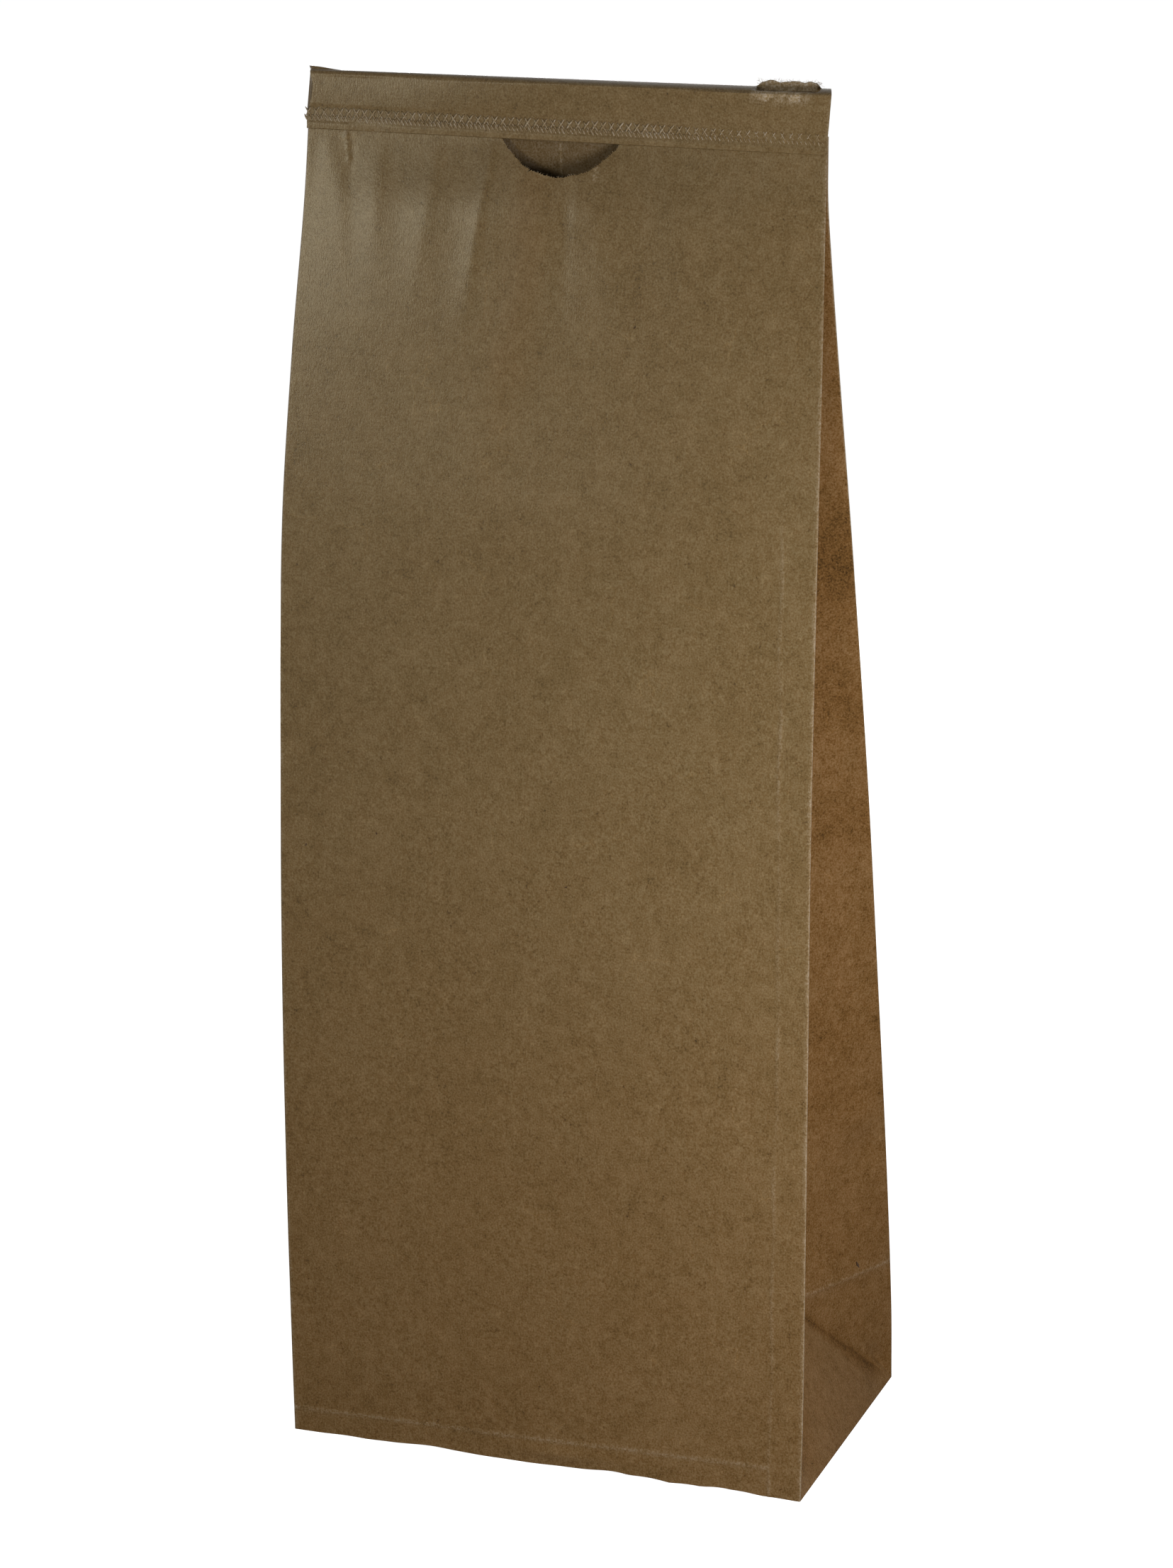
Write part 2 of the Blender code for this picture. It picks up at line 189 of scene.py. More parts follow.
def waves(x, height, seed, size, rise):
    """Soft uneven waves of about that size, with a fixed seed."""
    dice = np.random.default_rng(seed)
    total = np.zeros(np.broadcast(x, height).shape)
    for _ in range(14):
        turn, shift = dice.uniform(0, math.tau, 2)
        length = size * dice.uniform(0.6, 2.2)
        total = total + np.sin((x * math.cos(turn) + height * math.sin(turn)) * math.tau / length + shift)
    return rise * total / math.sqrt(14)


def ripples(x, height):
    """Fine upright ripples that run down from the fold and fade."""
    dice = np.random.default_rng(11)
    below = FLAP_EDGE - height
    total = np.zeros(np.broadcast(x, height).shape)
    for _ in range(60):
        place, lean, width = dice.uniform(-0.060, 0.060), dice.uniform(-0.06, 0.06), dice.uniform(0.0008, 0.0018)
        reach, rise = dice.uniform(0.006, 0.030), dice.uniform(-0.00006, 0.00010)
        lengthwise = smoothstep(0.0, 0.004, below) * (1 - smoothstep(reach * 0.4, reach, below))
        total = total + rise * lengthwise * np.exp(-((x - place - lean * below) / width) ** 2)
    return total


def ridge(distance, width):
    return np.exp(-(distance / width) ** 2)


def impressions(x, height):
    """Share of the pressed lines: one up the right side, one along the foot."""
    upright = np.interp(height, (0.007, 0.123, 0.235), (0.0561, 0.0574, 0.0563))
    upright = upright + waves(0.0, height, 31, 0.018, 0.00025)
    level = 0.0057 + 0.0017 * (x + 0.0626) / 0.1187 + waves(x, 0.0, 33, 0.030, 0.00012)
    up = ridge(x - upright, 0.00035) * (1 - smoothstep(0.215, 0.245, height))
    along = ridge(height - level, 0.00045) * (1 - smoothstep(0.054, 0.058, x))
    return np.maximum(up * (0.6 + 0.4 * waves(0.0, height, 35, 0.02, 1.0)), along)


def dents(x, height):
    """The pasted cushion at the foot, and three pimples beside the first flute."""
    rise = 0.0005 * ridge(x - 0.0053, 0.009) ** 0.5 * ridge(height - 0.0034, 0.0019)
    for place, level in ((-0.0520, 0.3085), (-0.0516, 0.3062), (-0.0512, 0.3037)):
        rise = rise + 0.00028 * ridge(x - place, 0.0005) * ridge(height - level, 0.0006)
    return rise


def front_relief(x, height):
    """How far the front panel stands out from its flat shape."""
    below = FLAP_EDGE - height
    free = smoothstep(0.0, 0.02, below) * smoothstep(0.0, 0.03, height) * (1 - (x / half_width(height)) ** 4)
    return (
        PUFF_FRONT * puff(x, height) + flutes(x, height) + ripples(x, height)
        + free * waves(x, height, 3, 0.070, 0.00028) + 0.00012 * impressions(x, height) + dents(x, height)
    )


def front_wear(x, height):
    """How much wear the front has: along its folded edges and on the pressed lines."""
    edge = smoothstep(half_width(height) - 0.0011, half_width(height) - 0.0002, np.abs(x))
    patchy = 0.75 + 0.35 * waves(0.0, height, 37, 0.006, 1.0)
    split = ridge(x - 0.0089, 0.0004) * smoothstep(0.3005, 0.3015, height)
    return np.clip(0.22 * edge * patchy + 0.22 * impressions(x, height) + 0.6 * split, 0.0, 1.0)


sample = np.linspace(-0.06, 0.06, 200)
print("The front stands out by up to", round(1000 * float(front_relief(sample, 0.3).max()), 2), "mm at the flutes")

# %% [markdown]
# ## The sheet, ring by ring
#
# The tube is made like a real one: a closed line is laid round the bag at each height, from the
# front panel round a fold, into the gusset's crease, out again and along the back. A small arc at
# each fold gives the paper the radius that a bone folder leaves. Above a height of 33 mm the two
# halves of a gusset meet in one crease, and below it they part along two diagonals to the corners
# of the base, which leaves the flat triangle that shows at the foot of the bag. Rings of points
# with the same count make that change by themselves, where separate panels would have to be sewn.

# %% One side of the bag
FOLD_RADIUS = FOLD_LIP / 2
HALF_GUSSET_COLUMNS = 16
CREASE_COLUMNS = 8
ARC_STEPS = 4


def gusset_points(height):
    """The gusset's two crease points on the right side, each as (x, y)."""
    level = np.maximum(height, APEX_HEIGHT)
    width = half_width(level)
    middle = front_y(level) + depth(level) / 2
    fold = np.sqrt(np.maximum(GUSSET_HALF ** 2 - (depth(level) / 2) ** 2, 0.0))
    first = np.stack([width - fold, middle - PLY_GAP / 2], axis=-1)
    second = np.stack([width - fold, middle + PLY_GAP / 2], axis=-1)
    rise = np.clip(height / APEX_HEIGHT, 0.0, 1.0)[..., None]
    corner_x = float(half_width(0.0))
    front_corner = np.array([corner_x, float(front_y(0.0)) + FOLD_LIP])
    back_corner = np.array([corner_x, float(front_y(0.0) + depth(0.0)) - FOLD_LIP])
    return front_corner + (first - front_corner) * rise, back_corner + (second - back_corner) * rise


def arc(centre, start, end, steps):
    """Points round a fold, from one angle to another. The first point is left out."""
    share = np.linspace(0, 1, steps + 1)[1:]
    angle = start[:, None] + (end - start)[:, None] * share
    return centre[:, None, :] + FOLD_RADIUS * np.stack([np.cos(angle), np.sin(angle)], axis=-1)


def straight(start, end, steps):
    """Points along a straight stretch. The first point is left out."""
    share = np.linspace(0, 1, steps + 1)[1:, None]
    return start[:, None, :] + (end - start)[:, None, :] * share


def level_crease(height):
    """The crease that the flat bag had across its gussets, level with the top of the block bottom."""
    return ridge(height - APEX_HEIGHT, 0.00055)


def gusset_marks(across, height, way):
    """Rise of a half gusset's marks. The back half (way -1) starts at the inner crease."""
    to_fold = across if way == -1 else 1 - across
    rise = 0.00022 * level_crease(height) * smoothstep(0.0, 0.15, to_fold) - 0.00025 * ridge(height - 0.029, 0.003)
    valley = ridge(to_fold, 0.14) * smoothstep(0.002, 0.008, height) * (1 - smoothstep(0.026, 0.036, height))
    rise = rise - 0.0014 * valley
    if way == -1:
        rise = rise + 0.0019 * ridge(to_fold - 0.84, 0.13) * ridge(height - 0.0750, 0.0042)
        rise = rise - 0.0016 * ridge(to_fold - 0.86, 0.12) * ridge(height - 0.0660, 0.0042)
        rise = rise - 0.0016 * ridge(to_fold - 0.50, 0.25) * ridge(height - 0.0070, 0.0040)
    return rise * np.sin(math.pi * np.clip(to_fold, 0.03, 0.97)) ** 0.5


# Height, reach and strength of the painted shade bands across a gusset
GUSSET_SHADE_BANDS = ((0.217, 0.014, 0.60), (0.182, 0.009, 0.45), (0.151, 0.006, 0.25), (0.0985, 0.005, 0.22),
                (0.0810, 0.003, 0.20))


def side_of_bag(heights, seed):
    """The right side at all heights, from the front fold to the back fold, and its marks.

    The marks are two values per point. The first is wear, from 0 to 1, going below 0 where shade is painted in bands
    and along the foot creases. The second, from 0 to 1, is a warmer, duller tint, which is lessened on the foot
    triangle as painted light.
    """
    width, front = half_width(heights), front_y(heights)
    back = front + depth(heights)
    first, second = gusset_points(heights)
    front_centre = np.stack([width - FOLD_RADIUS, front + FOLD_RADIUS], axis=-1)
    back_centre = np.stack([width - FOLD_RADIUS, back - FOLD_RADIUS], axis=-1)
    lean_front = np.arctan2(width - first[:, 0], np.maximum(first[:, 1] - front - FOLD_LIP, 1e-5))
    lean_back = np.arctan2(width - second[:, 0], np.maximum(back - FOLD_LIP - second[:, 1], 1e-5))
    quarter = np.full_like(width, math.pi / 2)
    front_arc = arc(front_centre, -quarter, lean_front, ARC_STEPS)
    back_arc = arc(back_centre, -lean_back, quarter, ARC_STEPS)
    back_start = back_centre + FOLD_RADIUS * np.stack([np.cos(lean_back), -np.sin(lean_back)], axis=-1)
    front_half = straight(front_arc[:, -1], first, HALF_GUSSET_COLUMNS)
    crease = straight(first, second, CREASE_COLUMNS)
    back_half = straight(second, back_start, HALF_GUSSET_COLUMNS)

    above = smoothstep(APEX_HEIGHT * 0.2, APEX_HEIGHT * 1.6, heights) * (1 - smoothstep(0.24, 0.29, heights))
    for half, lean, way in ((front_half, lean_front, 1), (back_half, lean_back, -1)):
        across = np.linspace(0, 1, HALF_GUSSET_COLUMNS + 1)[1:]
        room = np.sin(math.pi * across) * above[:, None]
        bump = room * waves(across[None, :] * 0.04, heights[:, None], seed + way, 0.045, 0.00045)
        bump = bump + gusset_marks(across[None, :], heights[:, None], way)
        half[:, :, 0] += bump * np.cos(lean)[:, None]
        half[:, :, 1] += bump * np.sin(lean)[:, None] * way

    points = np.concatenate([front_arc, front_half, crease, back_half, back_arc], axis=1)
    wear_and_painted_light = np.zeros(points.shape[:2])
    wear_and_painted_light[:, :ARC_STEPS] = 0.35
    wear_and_painted_light[:, -ARC_STEPS:] = 0.30
    wear_and_painted_light[:, ARC_STEPS:-ARC_STEPS] = 0.30 * level_crease(heights)[:, None] * (0.7 + 0.3 * waves(
        np.arange(points.shape[1] - 2 * ARC_STEPS)[None, :] * 0.002, 0.0, 61, 0.02, 1.0))
    # Painted shade: darker bands across the gusset, as negative values of the wear mark
    for place, reach, strength in GUSSET_SHADE_BANDS:
        wear_and_painted_light[:, ARC_STEPS:-ARC_STEPS] -= strength * ridge(heights - place, reach)[:, None]
    # Painted shade: a dark line along both diagonal creases of the gusset's foot, as negative values of the wear mark
    valley = smoothstep(0.002, 0.006, heights) * (1 - smoothstep(0.027, 0.035, heights))
    first_column, last_column = ARC_STEPS + HALF_GUSSET_COLUMNS - 1, ARC_STEPS + HALF_GUSSET_COLUMNS + CREASE_COLUMNS - 1
    for column in (first_column, last_column):
        wear_and_painted_light[:, column] -= 0.9 * valley
        wear_and_painted_light[:, column + 1] -= 0.35 * valley
    warmth_and_shade = np.ones(points.shape[:2])
    warmth_and_shade[:, :ARC_STEPS] = 0.2
    warmth_and_shade[:, -ARC_STEPS:] = 0.2
    # Painted light: the foot triangle, which faces up, gets less of the warm tint
    warmth_and_shade[:, first_column:last_column] -= 0.12 * (1 - smoothstep(0.027, 0.035, heights))[:, None]
    return points, np.stack([wear_and_painted_light, warmth_and_shade], axis=-1)


test_side, _ = side_of_bag(np.array([0.1]), 5)
print("A gusset's crease lies", round(1000 * (0.0645 - float(test_side[0, :, 0].min())), 1), "mm in at a height of 100 mm")

# %% [markdown]
# The front takes close columns where the notch and the flutes are and wider ones elsewhere, and
# the rows of points lie closest below the fold. The back carries the tube's glued seam, a second
# ply with a crisp free edge, which is only a step one paper high.

# %% The whole sheet
SEAM_LEFT = -0.0005
SEAM_WIDTH = 0.012
PLIES_END = FLAP_EDGE + CRIMP_ABOVE_EDGE + 0.00165


def steps_between(*stops):
    """Values from the first stop on: each following pair is (end, step)."""
    values = [stops[0]]
    for end, step in stops[1:]:
        start = values[-1]
        count = max(round((end - start) / step), 1)
        values += [start + (end - start) * (i + 1) / count for i in range(count)]
    return np.array(values)


def seam_rise(x):
    inner_end = SEAM_LEFT + SEAM_WIDTH
    return PAPER * smoothstep(SEAM_LEFT - PAPER, SEAM_LEFT, x) * (1 - smoothstep(inner_end, inner_end + 0.003, x))


def ring_points(heights):
    """Points (row, column, xyz) of the sheet's outer face and the marks of each."""
    level = heights[:, None]
    flat_half = half_width(level) - FOLD_RADIUS
    share = steps_between(-1.0, (-0.978, 0.005), (-0.86, 0.024), (-0.78, 0.0066), (-0.33, 0.024), (0.33, 0.0098),
                          (0.86, 0.024), (0.93, 0.0055), (0.978, 0.012), (1.0, 0.005))
    x = share * flat_half
    front = np.stack([x, front_y(level) - front_relief(x, level)], axis=-1)
    edges = (SEAM_LEFT + PAPER * np.array([-2.5, -1.0, 0.0, 1.5])) / 0.064
    share = np.sort(np.concatenate([np.linspace(-1, 1, 32), edges]))[::-1][1:-1]
    x = share * flat_half
    loose = smoothstep(0.0, 0.02, FLAP_EDGE - level) * smoothstep(0.0, 0.03, level) * (1 - share ** 4)
    rise = PUFF_BACK * puff(x, level) + loose * waves(x, level, 23, 0.080, 0.0005)
    rise = rise + seam_rise(x) * (1 - smoothstep(FLAP_EDGE - 2 * NOTCH_DEPTH, FLAP_EDGE - NOTCH_DEPTH, level))
    back = np.stack([x, front_y(level) + depth(level) + rise], axis=-1)
    right, right_marks = side_of_bag(heights, 41)
    left, left_marks = side_of_bag(heights, 57)
    left = left[:, ::-1] * np.array([-1.0, 1.0])
    outline = np.concatenate([front, right, back, left[:, :-1]], axis=1)
    seam_edge = ridge(x - SEAM_LEFT + PAPER / 2, PAPER)
    back_marks = np.stack([0.6 * seam_edge, np.full(back.shape[:2], 0.4)], axis=-1)
    # Painted shade in the warm tint: more of it towards the foot, and in a slanting trough below the notch
    foot_shade = 0.55 * (1 - smoothstep(0.0, 0.20, level)) * np.ones_like(front[..., 0])
    painted_shade = foot_shade + 0.28 * ridge(front[..., 0] + 0.004 + 0.12 * (FLAP_EDGE - level), 0.005) * smoothstep(0.21, 0.29, level)
    front_marks = np.stack([front_wear(front[..., 0], level), painted_shade], axis=-1)
    marks = np.concatenate(
        [front_marks, right_marks, back_marks, left_marks[:, ::-1][:, :-1]], axis=1)
    y = outline[..., 1] + twist_y(outline[..., 0], level)
    z = np.broadcast_to(level, y.shape)
    return np.stack([outline[..., 0], y, z], axis=-1), marks


row_heights = steps_between(0.0, (0.0006, 0.0003), (0.0046, 0.0008), (0.0084, 0.00048), (0.012, 0.0012),
                            (0.0322, 0.0017), (0.0338, 0.0004), (0.090, 0.0025), (0.228, 0.0036),
                            (0.297, 0.0013), (0.311, 0.0006), (PLIES_END, 0.0006))
sheet_points, sheet_marks = ring_points(row_heights)
print("The sheet has", sheet_points.shape[0], "rows of", sheet_points.shape[1], "points")

# %% [markdown]
# The front edge of the base isn't pressed to the table all along: the paste has pulled it up in
# shallow scallops. Lifting the lowest rows a little there gives that edge its uneven line.

# %% The sheet's mesh
def foot_lift(points):
    """How much the lowest edge of the front stands up from the table."""
    x, y, height = points[..., 0], points[..., 1], points[..., 2]
    at_front = 1 - smoothstep(-0.0385, -0.030, y)
    scallops = 0.0007 * ridge(x - 0.017, 0.008) + 0.0005 * ridge(x + 0.028, 0.010) + 0.0006 * ridge(x - 0.046, 0.007)
    scallops = scallops + np.abs(waves(x, 0.0, 71, 0.014, 0.00030))
    return scallops * at_front * (1 - smoothstep(0.0, 0.006, height)) * (1 - np.clip(np.abs(x) / 0.0635, 0, 1) ** 8)


def mesh_object(name, vertices, faces, smooth=True):
    """An object at the origin from lists of points and faces."""
    mesh = bpy.data.meshes.new(name)
    mesh.from_pydata([tuple(v) for v in vertices], [], [tuple(f) for f in faces])
    mesh.validate()
    mesh.polygons.foreach_set("use_smooth", [smooth] * len(mesh.polygons))
    thing = bpy.data.objects.new(name, mesh)
    bpy.context.scene.collection.objects.link(thing)
    return thing


def grid_faces(rows, columns, closed):
    """Quads of a grid of points, row after row. A closed grid joins its last column to its first."""
    last = columns if closed else columns - 1
    low = np.arange(rows - 1)[:, None] * columns
    i = np.arange(last)[None, :]
    j = (i + 1) % columns
    quads = np.stack([low + i, low + j, low + columns + j, low + columns + i], axis=-1)
    return quads.reshape(-1, 4)


BASE_INSET = 0.0005
lifted = sheet_points.copy()
lifted[..., 2] += foot_lift(sheet_points)
foot = lifted[0] * np.array([1 - BASE_INSET / 0.06, 1 - BASE_INSET / 0.04, 0.0]) + np.array([0, 0, PAPER])
foot[:, 1] += 4.0 * lifted[0, :, 2]
rows, columns = lifted.shape[:2]
vertices = np.concatenate([foot[None], lifted]).reshape(-1, 3)
faces = [list(face) for face in grid_faces(rows + 1, columns, True)]
faces.append(list(range(columns))[::-1])
sheet = mesh_object("bag_sheet", vertices, faces)
sheet_marks = np.concatenate([sheet_marks[:1], sheet_marks]).reshape(-1, 2)
for i, name in enumerate(("wear_and_painted_light", "warmth_and_shade")):
    layer = sheet.data.attributes.new(name, "FLOAT", "POINT")
    layer.data.foreach_set("value", sheet_marks[:, i].astype(np.float32))
print("The open sheet has", len(sheet.data.polygons), "faces")

# %% [markdown]
# ## Thickness and the thumb notch
#
# A sheet with no thickness would show no edge where it is cut. Solidify gives it an inner face,
# with the duller side of the paper as its material, and only then does a Boolean punch the notch,
# through the front ply alone. Such a notch is cut by a toothed blade, so its outline is a row of
# small uneven teeth, with a nick where the paper tore. The cutting block ends between the front
# and the back, and leaves the back whole.

# %% Give the sheet its thickness and cut the notch
TOOTH = 0.00056
NOTCH_TOP = FLAP_EDGE + 0.0010


def notch_outline():
    """Points (x, z) round the notch, from its left end down and up to its right end."""
    centre_z = FLAP_EDGE - NOTCH_DEPTH + NOTCH_RADIUS
    reach = math.acos((centre_z - NOTCH_TOP) / NOTCH_RADIUS)
    teeth = round(2 * reach * NOTCH_RADIUS / TOOTH)
    dice = np.random.default_rng(8)
    outline = []
    for i in range(teeth):
        depth_of_tooth = dice.uniform(0.00006, 0.00026)
        drift = 0.0001 * math.sin(i * 0.45) + 0.00006 * math.sin(i * 1.3)
        for part, out in ((0.0, 0.0), (0.35, 0.9), (0.6, 1.0)):
            angle = -reach + 2 * reach * (i + part + dice.uniform(-0.08, 0.08)) / teeth
            radius = NOTCH_RADIUS + drift - depth_of_tooth * out
            outline.append((radius * math.sin(angle), centre_z - radius * math.cos(angle)))
    tear = min(range(len(outline)), key=lambda i: abs(outline[i][0] + 0.0066))
    x, z = outline[tear]
    outline[tear] = (x - 0.0007, z - 0.00045)
    outline[0] = (outline[0][0], NOTCH_TOP)
    outline[-1] = (outline[-1][0], NOTCH_TOP)
    return outline


def cutting_block(outline):
    """A closed block of that outline, from in front of the bag to half way between its plies."""
    mesh = bmesh.new()
    near = [mesh.verts.new((x, -0.046, z)) for x, z in outline]
    far = []
    for x, z in outline:
        y = float(front_y(z)) + STACK / 2 + float(twist_y(x, z))
        far.append(mesh.verts.new((x, y, z)))
    count = len(outline)
    for i in range(count):
        j = (i + 1) % count
        mesh.faces.new((near[i], far[i], far[j], near[j]))
    mesh.faces.new(near)
    mesh.faces.new(far[::-1])
    bmesh.ops.triangulate(mesh, faces=[f for f in mesh.faces if len(f.verts) > 4])
    bmesh.ops.recalc_face_normals(mesh, faces=mesh.faces)
    data = bpy.data.meshes.new("notch_block")
    mesh.to_mesh(data)
    mesh.free()
    block = bpy.data.objects.new("notch_block", data)
    bpy.context.scene.collection.objects.link(block)
    return block


def made_plain(thing):
    """Bakes an object's modifiers into its mesh and removes them."""
    bpy.context.view_layer.update()
    graph = bpy.context.evaluated_depsgraph_get()
    baked = bpy.data.meshes.new_from_object(thing.evaluated_get(graph), depsgraph=graph)
    baked.name = thing.name
    thing.modifiers.clear()
    thing.data = baked
    return thing


sheet.data.materials.append(bpy.data.materials.new("kraft_outside"))
sheet.data.materials.append(bpy.data.materials.new("kraft_inside"))
thickness = sheet.modifiers.new("thickness", "SOLIDIFY")
thickness.thickness = PAPER
thickness.offset = -1.0
thickness.material_offset = 1
thickness.material_offset_rim = 1
made_plain(sheet)
outline = notch_outline()
block = cutting_block(outline)
punch = sheet.modifiers.new("punch", "BOOLEAN")
punch.operation = "DIFFERENCE"
punch.solver = "EXACT"
punch.object = block
made_plain(sheet)
bpy.data.objects.remove(block, do_unlink=True)
sheet.data.set_sharp_from_angle(angle=math.radians(35))
print("The cut sheet has", len(sheet.data.polygons), "faces; the notch has", len(outline), "points")

# %% [markdown]
# ## The flap pasted under the base
#
# A block bottom is closed by a flap that is folded under from the front and pasted down. It only
# shows from below, as one more ply with slanted ends, so a thin plate of that outline is enough.

# %% Base flap
flap_outline = [(-0.0600, -0.0360), (0.0600, -0.0360), (0.0445, 0.0120), (-0.0445, 0.0120)]
low = [(x, y, 0.0) for x, y in flap_outline]
high = [(x, y, PAPER * 1.5) for x, y in flap_outline]
count = len(flap_outline)
sides = [(i, (i + 1) % count, count + (i + 1) % count, count + i) for i in range(count)]
base_flap = mesh_object("base_flap", low + high, sides + [tuple(range(count))[::-1], tuple(range(count, 2 * count))], False)
print("The base flap reaches", 1000 * flap_outline[2][1], "mm behind the middle of the base")

# %% [markdown]
# ## The folded top
#
# Above the notch all the plies are pressed together, folded forward and crimped. Followed from
# behind, they go up the back, over the fold and down the front to a lip, and back up behind it.
# That path is the same all along the bag, so it is lofted: one section is worked out at each of
# some hundreds of places across, and what differs from place to place - the slanted lip, the
# raised tip at the left end, the torn stretch at the right - is a change to the section there.

# %% The section of the fold
FLAP_THICKNESS = 0.0008
NECK = (STACK + PAPER) / 2
FLAP_BACK = -NECK - PLY_GAP
FLAP_FRONT = FLAP_BACK - FLAP_THICKNESS
FOLD_BEND = (NECK - FLAP_FRONT) / 2
CRIMP_HEIGHT = 0.0033
FLAP_HALF = float(half_width(FLAP_EDGE)) + FLAP_THICKNESS / 2
TORN_END = FLAP_HALF - 0.0022
TORN_START = TORN_END - 0.0158
FOLD_STEPS = 18
FRONT_STEPS = 36


def lip_drop(x):
    """How far the lip of the flap lies below the fold."""
    share = x / (2 * FLAP_HALF) + 0.5
    return FLAP_DROP_LEFT + (FLAP_DROP_RIGHT - FLAP_DROP_LEFT) * share


def rough(x, seed, size, rise):
    """Uneven, jagged noise along the fold, for torn paper."""
    dice = np.random.default_rng(seed)
    knots = dice.uniform(-1, 1, 600)
    return rise * np.interp(np.asarray(x) / size + 300, np.arange(600), knots)


def fold_sections(x):
    """Sections (place, point, yz) of the folded top, as offsets back and up from the fold."""
    drop = lip_drop(x)
    pressed = 1 - 0.6 * smoothstep(0.022, 0.046, x)
    lean = -0.0004 + 0.0024 * smoothstep(-0.060, 0.035, x)
    torn = smoothstep(TORN_START, TORN_START + 0.0022, x) * (1 - smoothstep(TORN_END - 0.0016, TORN_END, x))
    ear = 1 - smoothstep(0.0, 0.010, x + FLAP_HALF)
    neck_drop = np.full_like(x, HEIGHT - FLAP_EDGE - CRIMP_ABOVE_EDGE / 2)
    columns_y, columns_z = [], []

    def add(y, z):
        columns_y.append(np.broadcast_to(y, x.shape))
        columns_z.append(np.broadcast_to(z, x.shape))

    for share in np.linspace(0, 1, 9):
        soft = 0.00012 * math.sin(math.pi * share) * waves(x, share * 0.02, 91, 0.03, 1.0)
        add(NECK - np.abs(soft), -neck_drop + (neck_drop - FOLD_BEND) * share)
    for i in range(1, FOLD_STEPS):
        turn = i / FOLD_STEPS
        back_plies = 1 - float(smoothstep(0.36, 0.48, turn))
        parted = float(smoothstep(0.36, 0.48, turn)) * (1 - float(smoothstep(0.72, 0.86, turn)))
        ragged = rough(x, 5, 0.0007, 0.00022) + rough(x, 6, 0.0028, 0.00030)
        z = -FOLD_BEND + FOLD_BEND * math.sin(math.pi * turn) + 0.0009 * ear * back_plies
        z = z + torn * back_plies * (0.00125 + ragged * float(smoothstep(0.08, 0.3, turn)))
        z = z - torn * parted * (0.0009 + rough(x, 7, 0.0011, 0.00025))
        y = (NECK + FLAP_FRONT) / 2 + FOLD_BEND * math.cos(math.pi * turn)
        y = y - lean * float(smoothstep(0.3, 1.0, turn))
        y = y - 0.0012 * torn * back_plies * float(smoothstep(0.1, 0.36, turn))
        add(y + torn * back_plies * rough(x, 8, 0.0016, 0.00018), z)
    for share in np.linspace(0, 1, FRONT_STEPS):
        z = -FOLD_BEND - (drop - FOLD_BEND - 0.00015) * share
        above = z + drop
        band = smoothstep(0.0016, 0.0020, above) * (1 - smoothstep(0.0048, 0.0056, above))
        lip = 1 - smoothstep(0.0012, 0.0019, above)
        up = np.clip((above - 0.0045) / (drop - 0.0045 - FOLD_BEND), 0, 1)
        belly = 0.0001 * np.sin(math.pi * up) + lean * up
        loose = 1 - np.exp(-((x + 0.0458) / 0.0045) ** 2)
        soft = waves(x, above, 95, 0.035, 0.00010) * smoothstep(0.0, 0.004, above)
        add(FLAP_FRONT - belly + 0.00012 * band * pressed - 0.00012 * lip * loose + soft, z)
    add(FLAP_FRONT + 0.00012, -drop)
    add(FLAP_BACK - 0.00015, -drop)
    add(FLAP_BACK, -drop + 0.0002)
    add(FLAP_BACK, -drop + CRIMP_ABOVE_EDGE)
    add(-NECK, -drop + CRIMP_ABOVE_EDGE)
    add(-NECK, -neck_drop)
    return np.stack([np.stack(columns_y, axis=1), np.stack(columns_z, axis=1)], axis=-1)


# %% Loft the folded top
# Distance below the fold and how far the left end stands in there
LEFT_END = np.array([(0.0, -0.0001), (0.0015, 0.0004), (0.003, 0.0010), (0.006, 0.0009), (0.008, 0.0004),
                     (0.010, -0.0002), (0.0125, 0.0001), (0.0145, -0.0001)])
END_INSET = 0.0007
FLAP_SHIFT = 0.0008
FLAP_TAPER = 0.0008


def on_top(x, y, z):
    """Turns the folded top's own offsets into places on the bag."""
    middle = float(front_y(FLAP_EDGE)) + STACK / 2
    cos, sin = math.cos(TOP_TWIST), math.sin(TOP_TWIST)
    return np.stack([x * cos - y * sin, x * sin + y * cos + middle, z + HEIGHT], axis=-1)


def skewed(x, y, z):
    """The flap isn't cut square: its ends lean and wave."""
    share = x / (2 * FLAP_HALF) + 0.5
    upward = 1 + z / FLAP_DROP
    end = 1 - smoothstep(0.0, 0.006, x + FLAP_HALF)
    wave = np.interp(-z, LEFT_END[:, 0], LEFT_END[:, 1])
    taper_in = np.where(y < 0, FLAP_TAPER * (1 - share) * upward + wave * end, 0.0)
    right_end = smoothstep(FLAP_HALF - 0.005, FLAP_HALF, x)
    return x + FLAP_SHIFT * share * upward + taper_in + END_INSET * end - 0.40 * (y - FLAP_FRONT) * right_end


places = np.linspace(-FLAP_HALF, FLAP_HALF, 380)
sections = fold_sections(places)
y, z = sections[..., 0], sections[..., 1]
x = skewed(places[:, None] + 0 * y, y, z)
top_points = on_top(x, y, z)
rows, columns = top_points.shape[:2]
faces = [tuple(face) for face in grid_faces(rows, columns, True)]
faces += [tuple(range(columns))[::-1], tuple(range((rows - 1) * columns, rows * columns))]
folded_top = mesh_object("folded_top", top_points.reshape(-1, 3), faces)
rubbed = smoothstep(TORN_START, TORN_START + 0.004, x) * (1 - smoothstep(TORN_END - 0.004, TORN_END, x))
rubbed = rubbed * (y < 0) * smoothstep(-0.0042, -0.0016, z) * (0.7 + waves(x, z, 77, 0.002, 0.4))
ends = smoothstep(FLAP_HALF - 0.0010, FLAP_HALF - 0.0002, np.abs(places))[:, None] * 0.12
layer = folded_top.data.attributes.new("wear_and_painted_light", "FLOAT", "POINT")
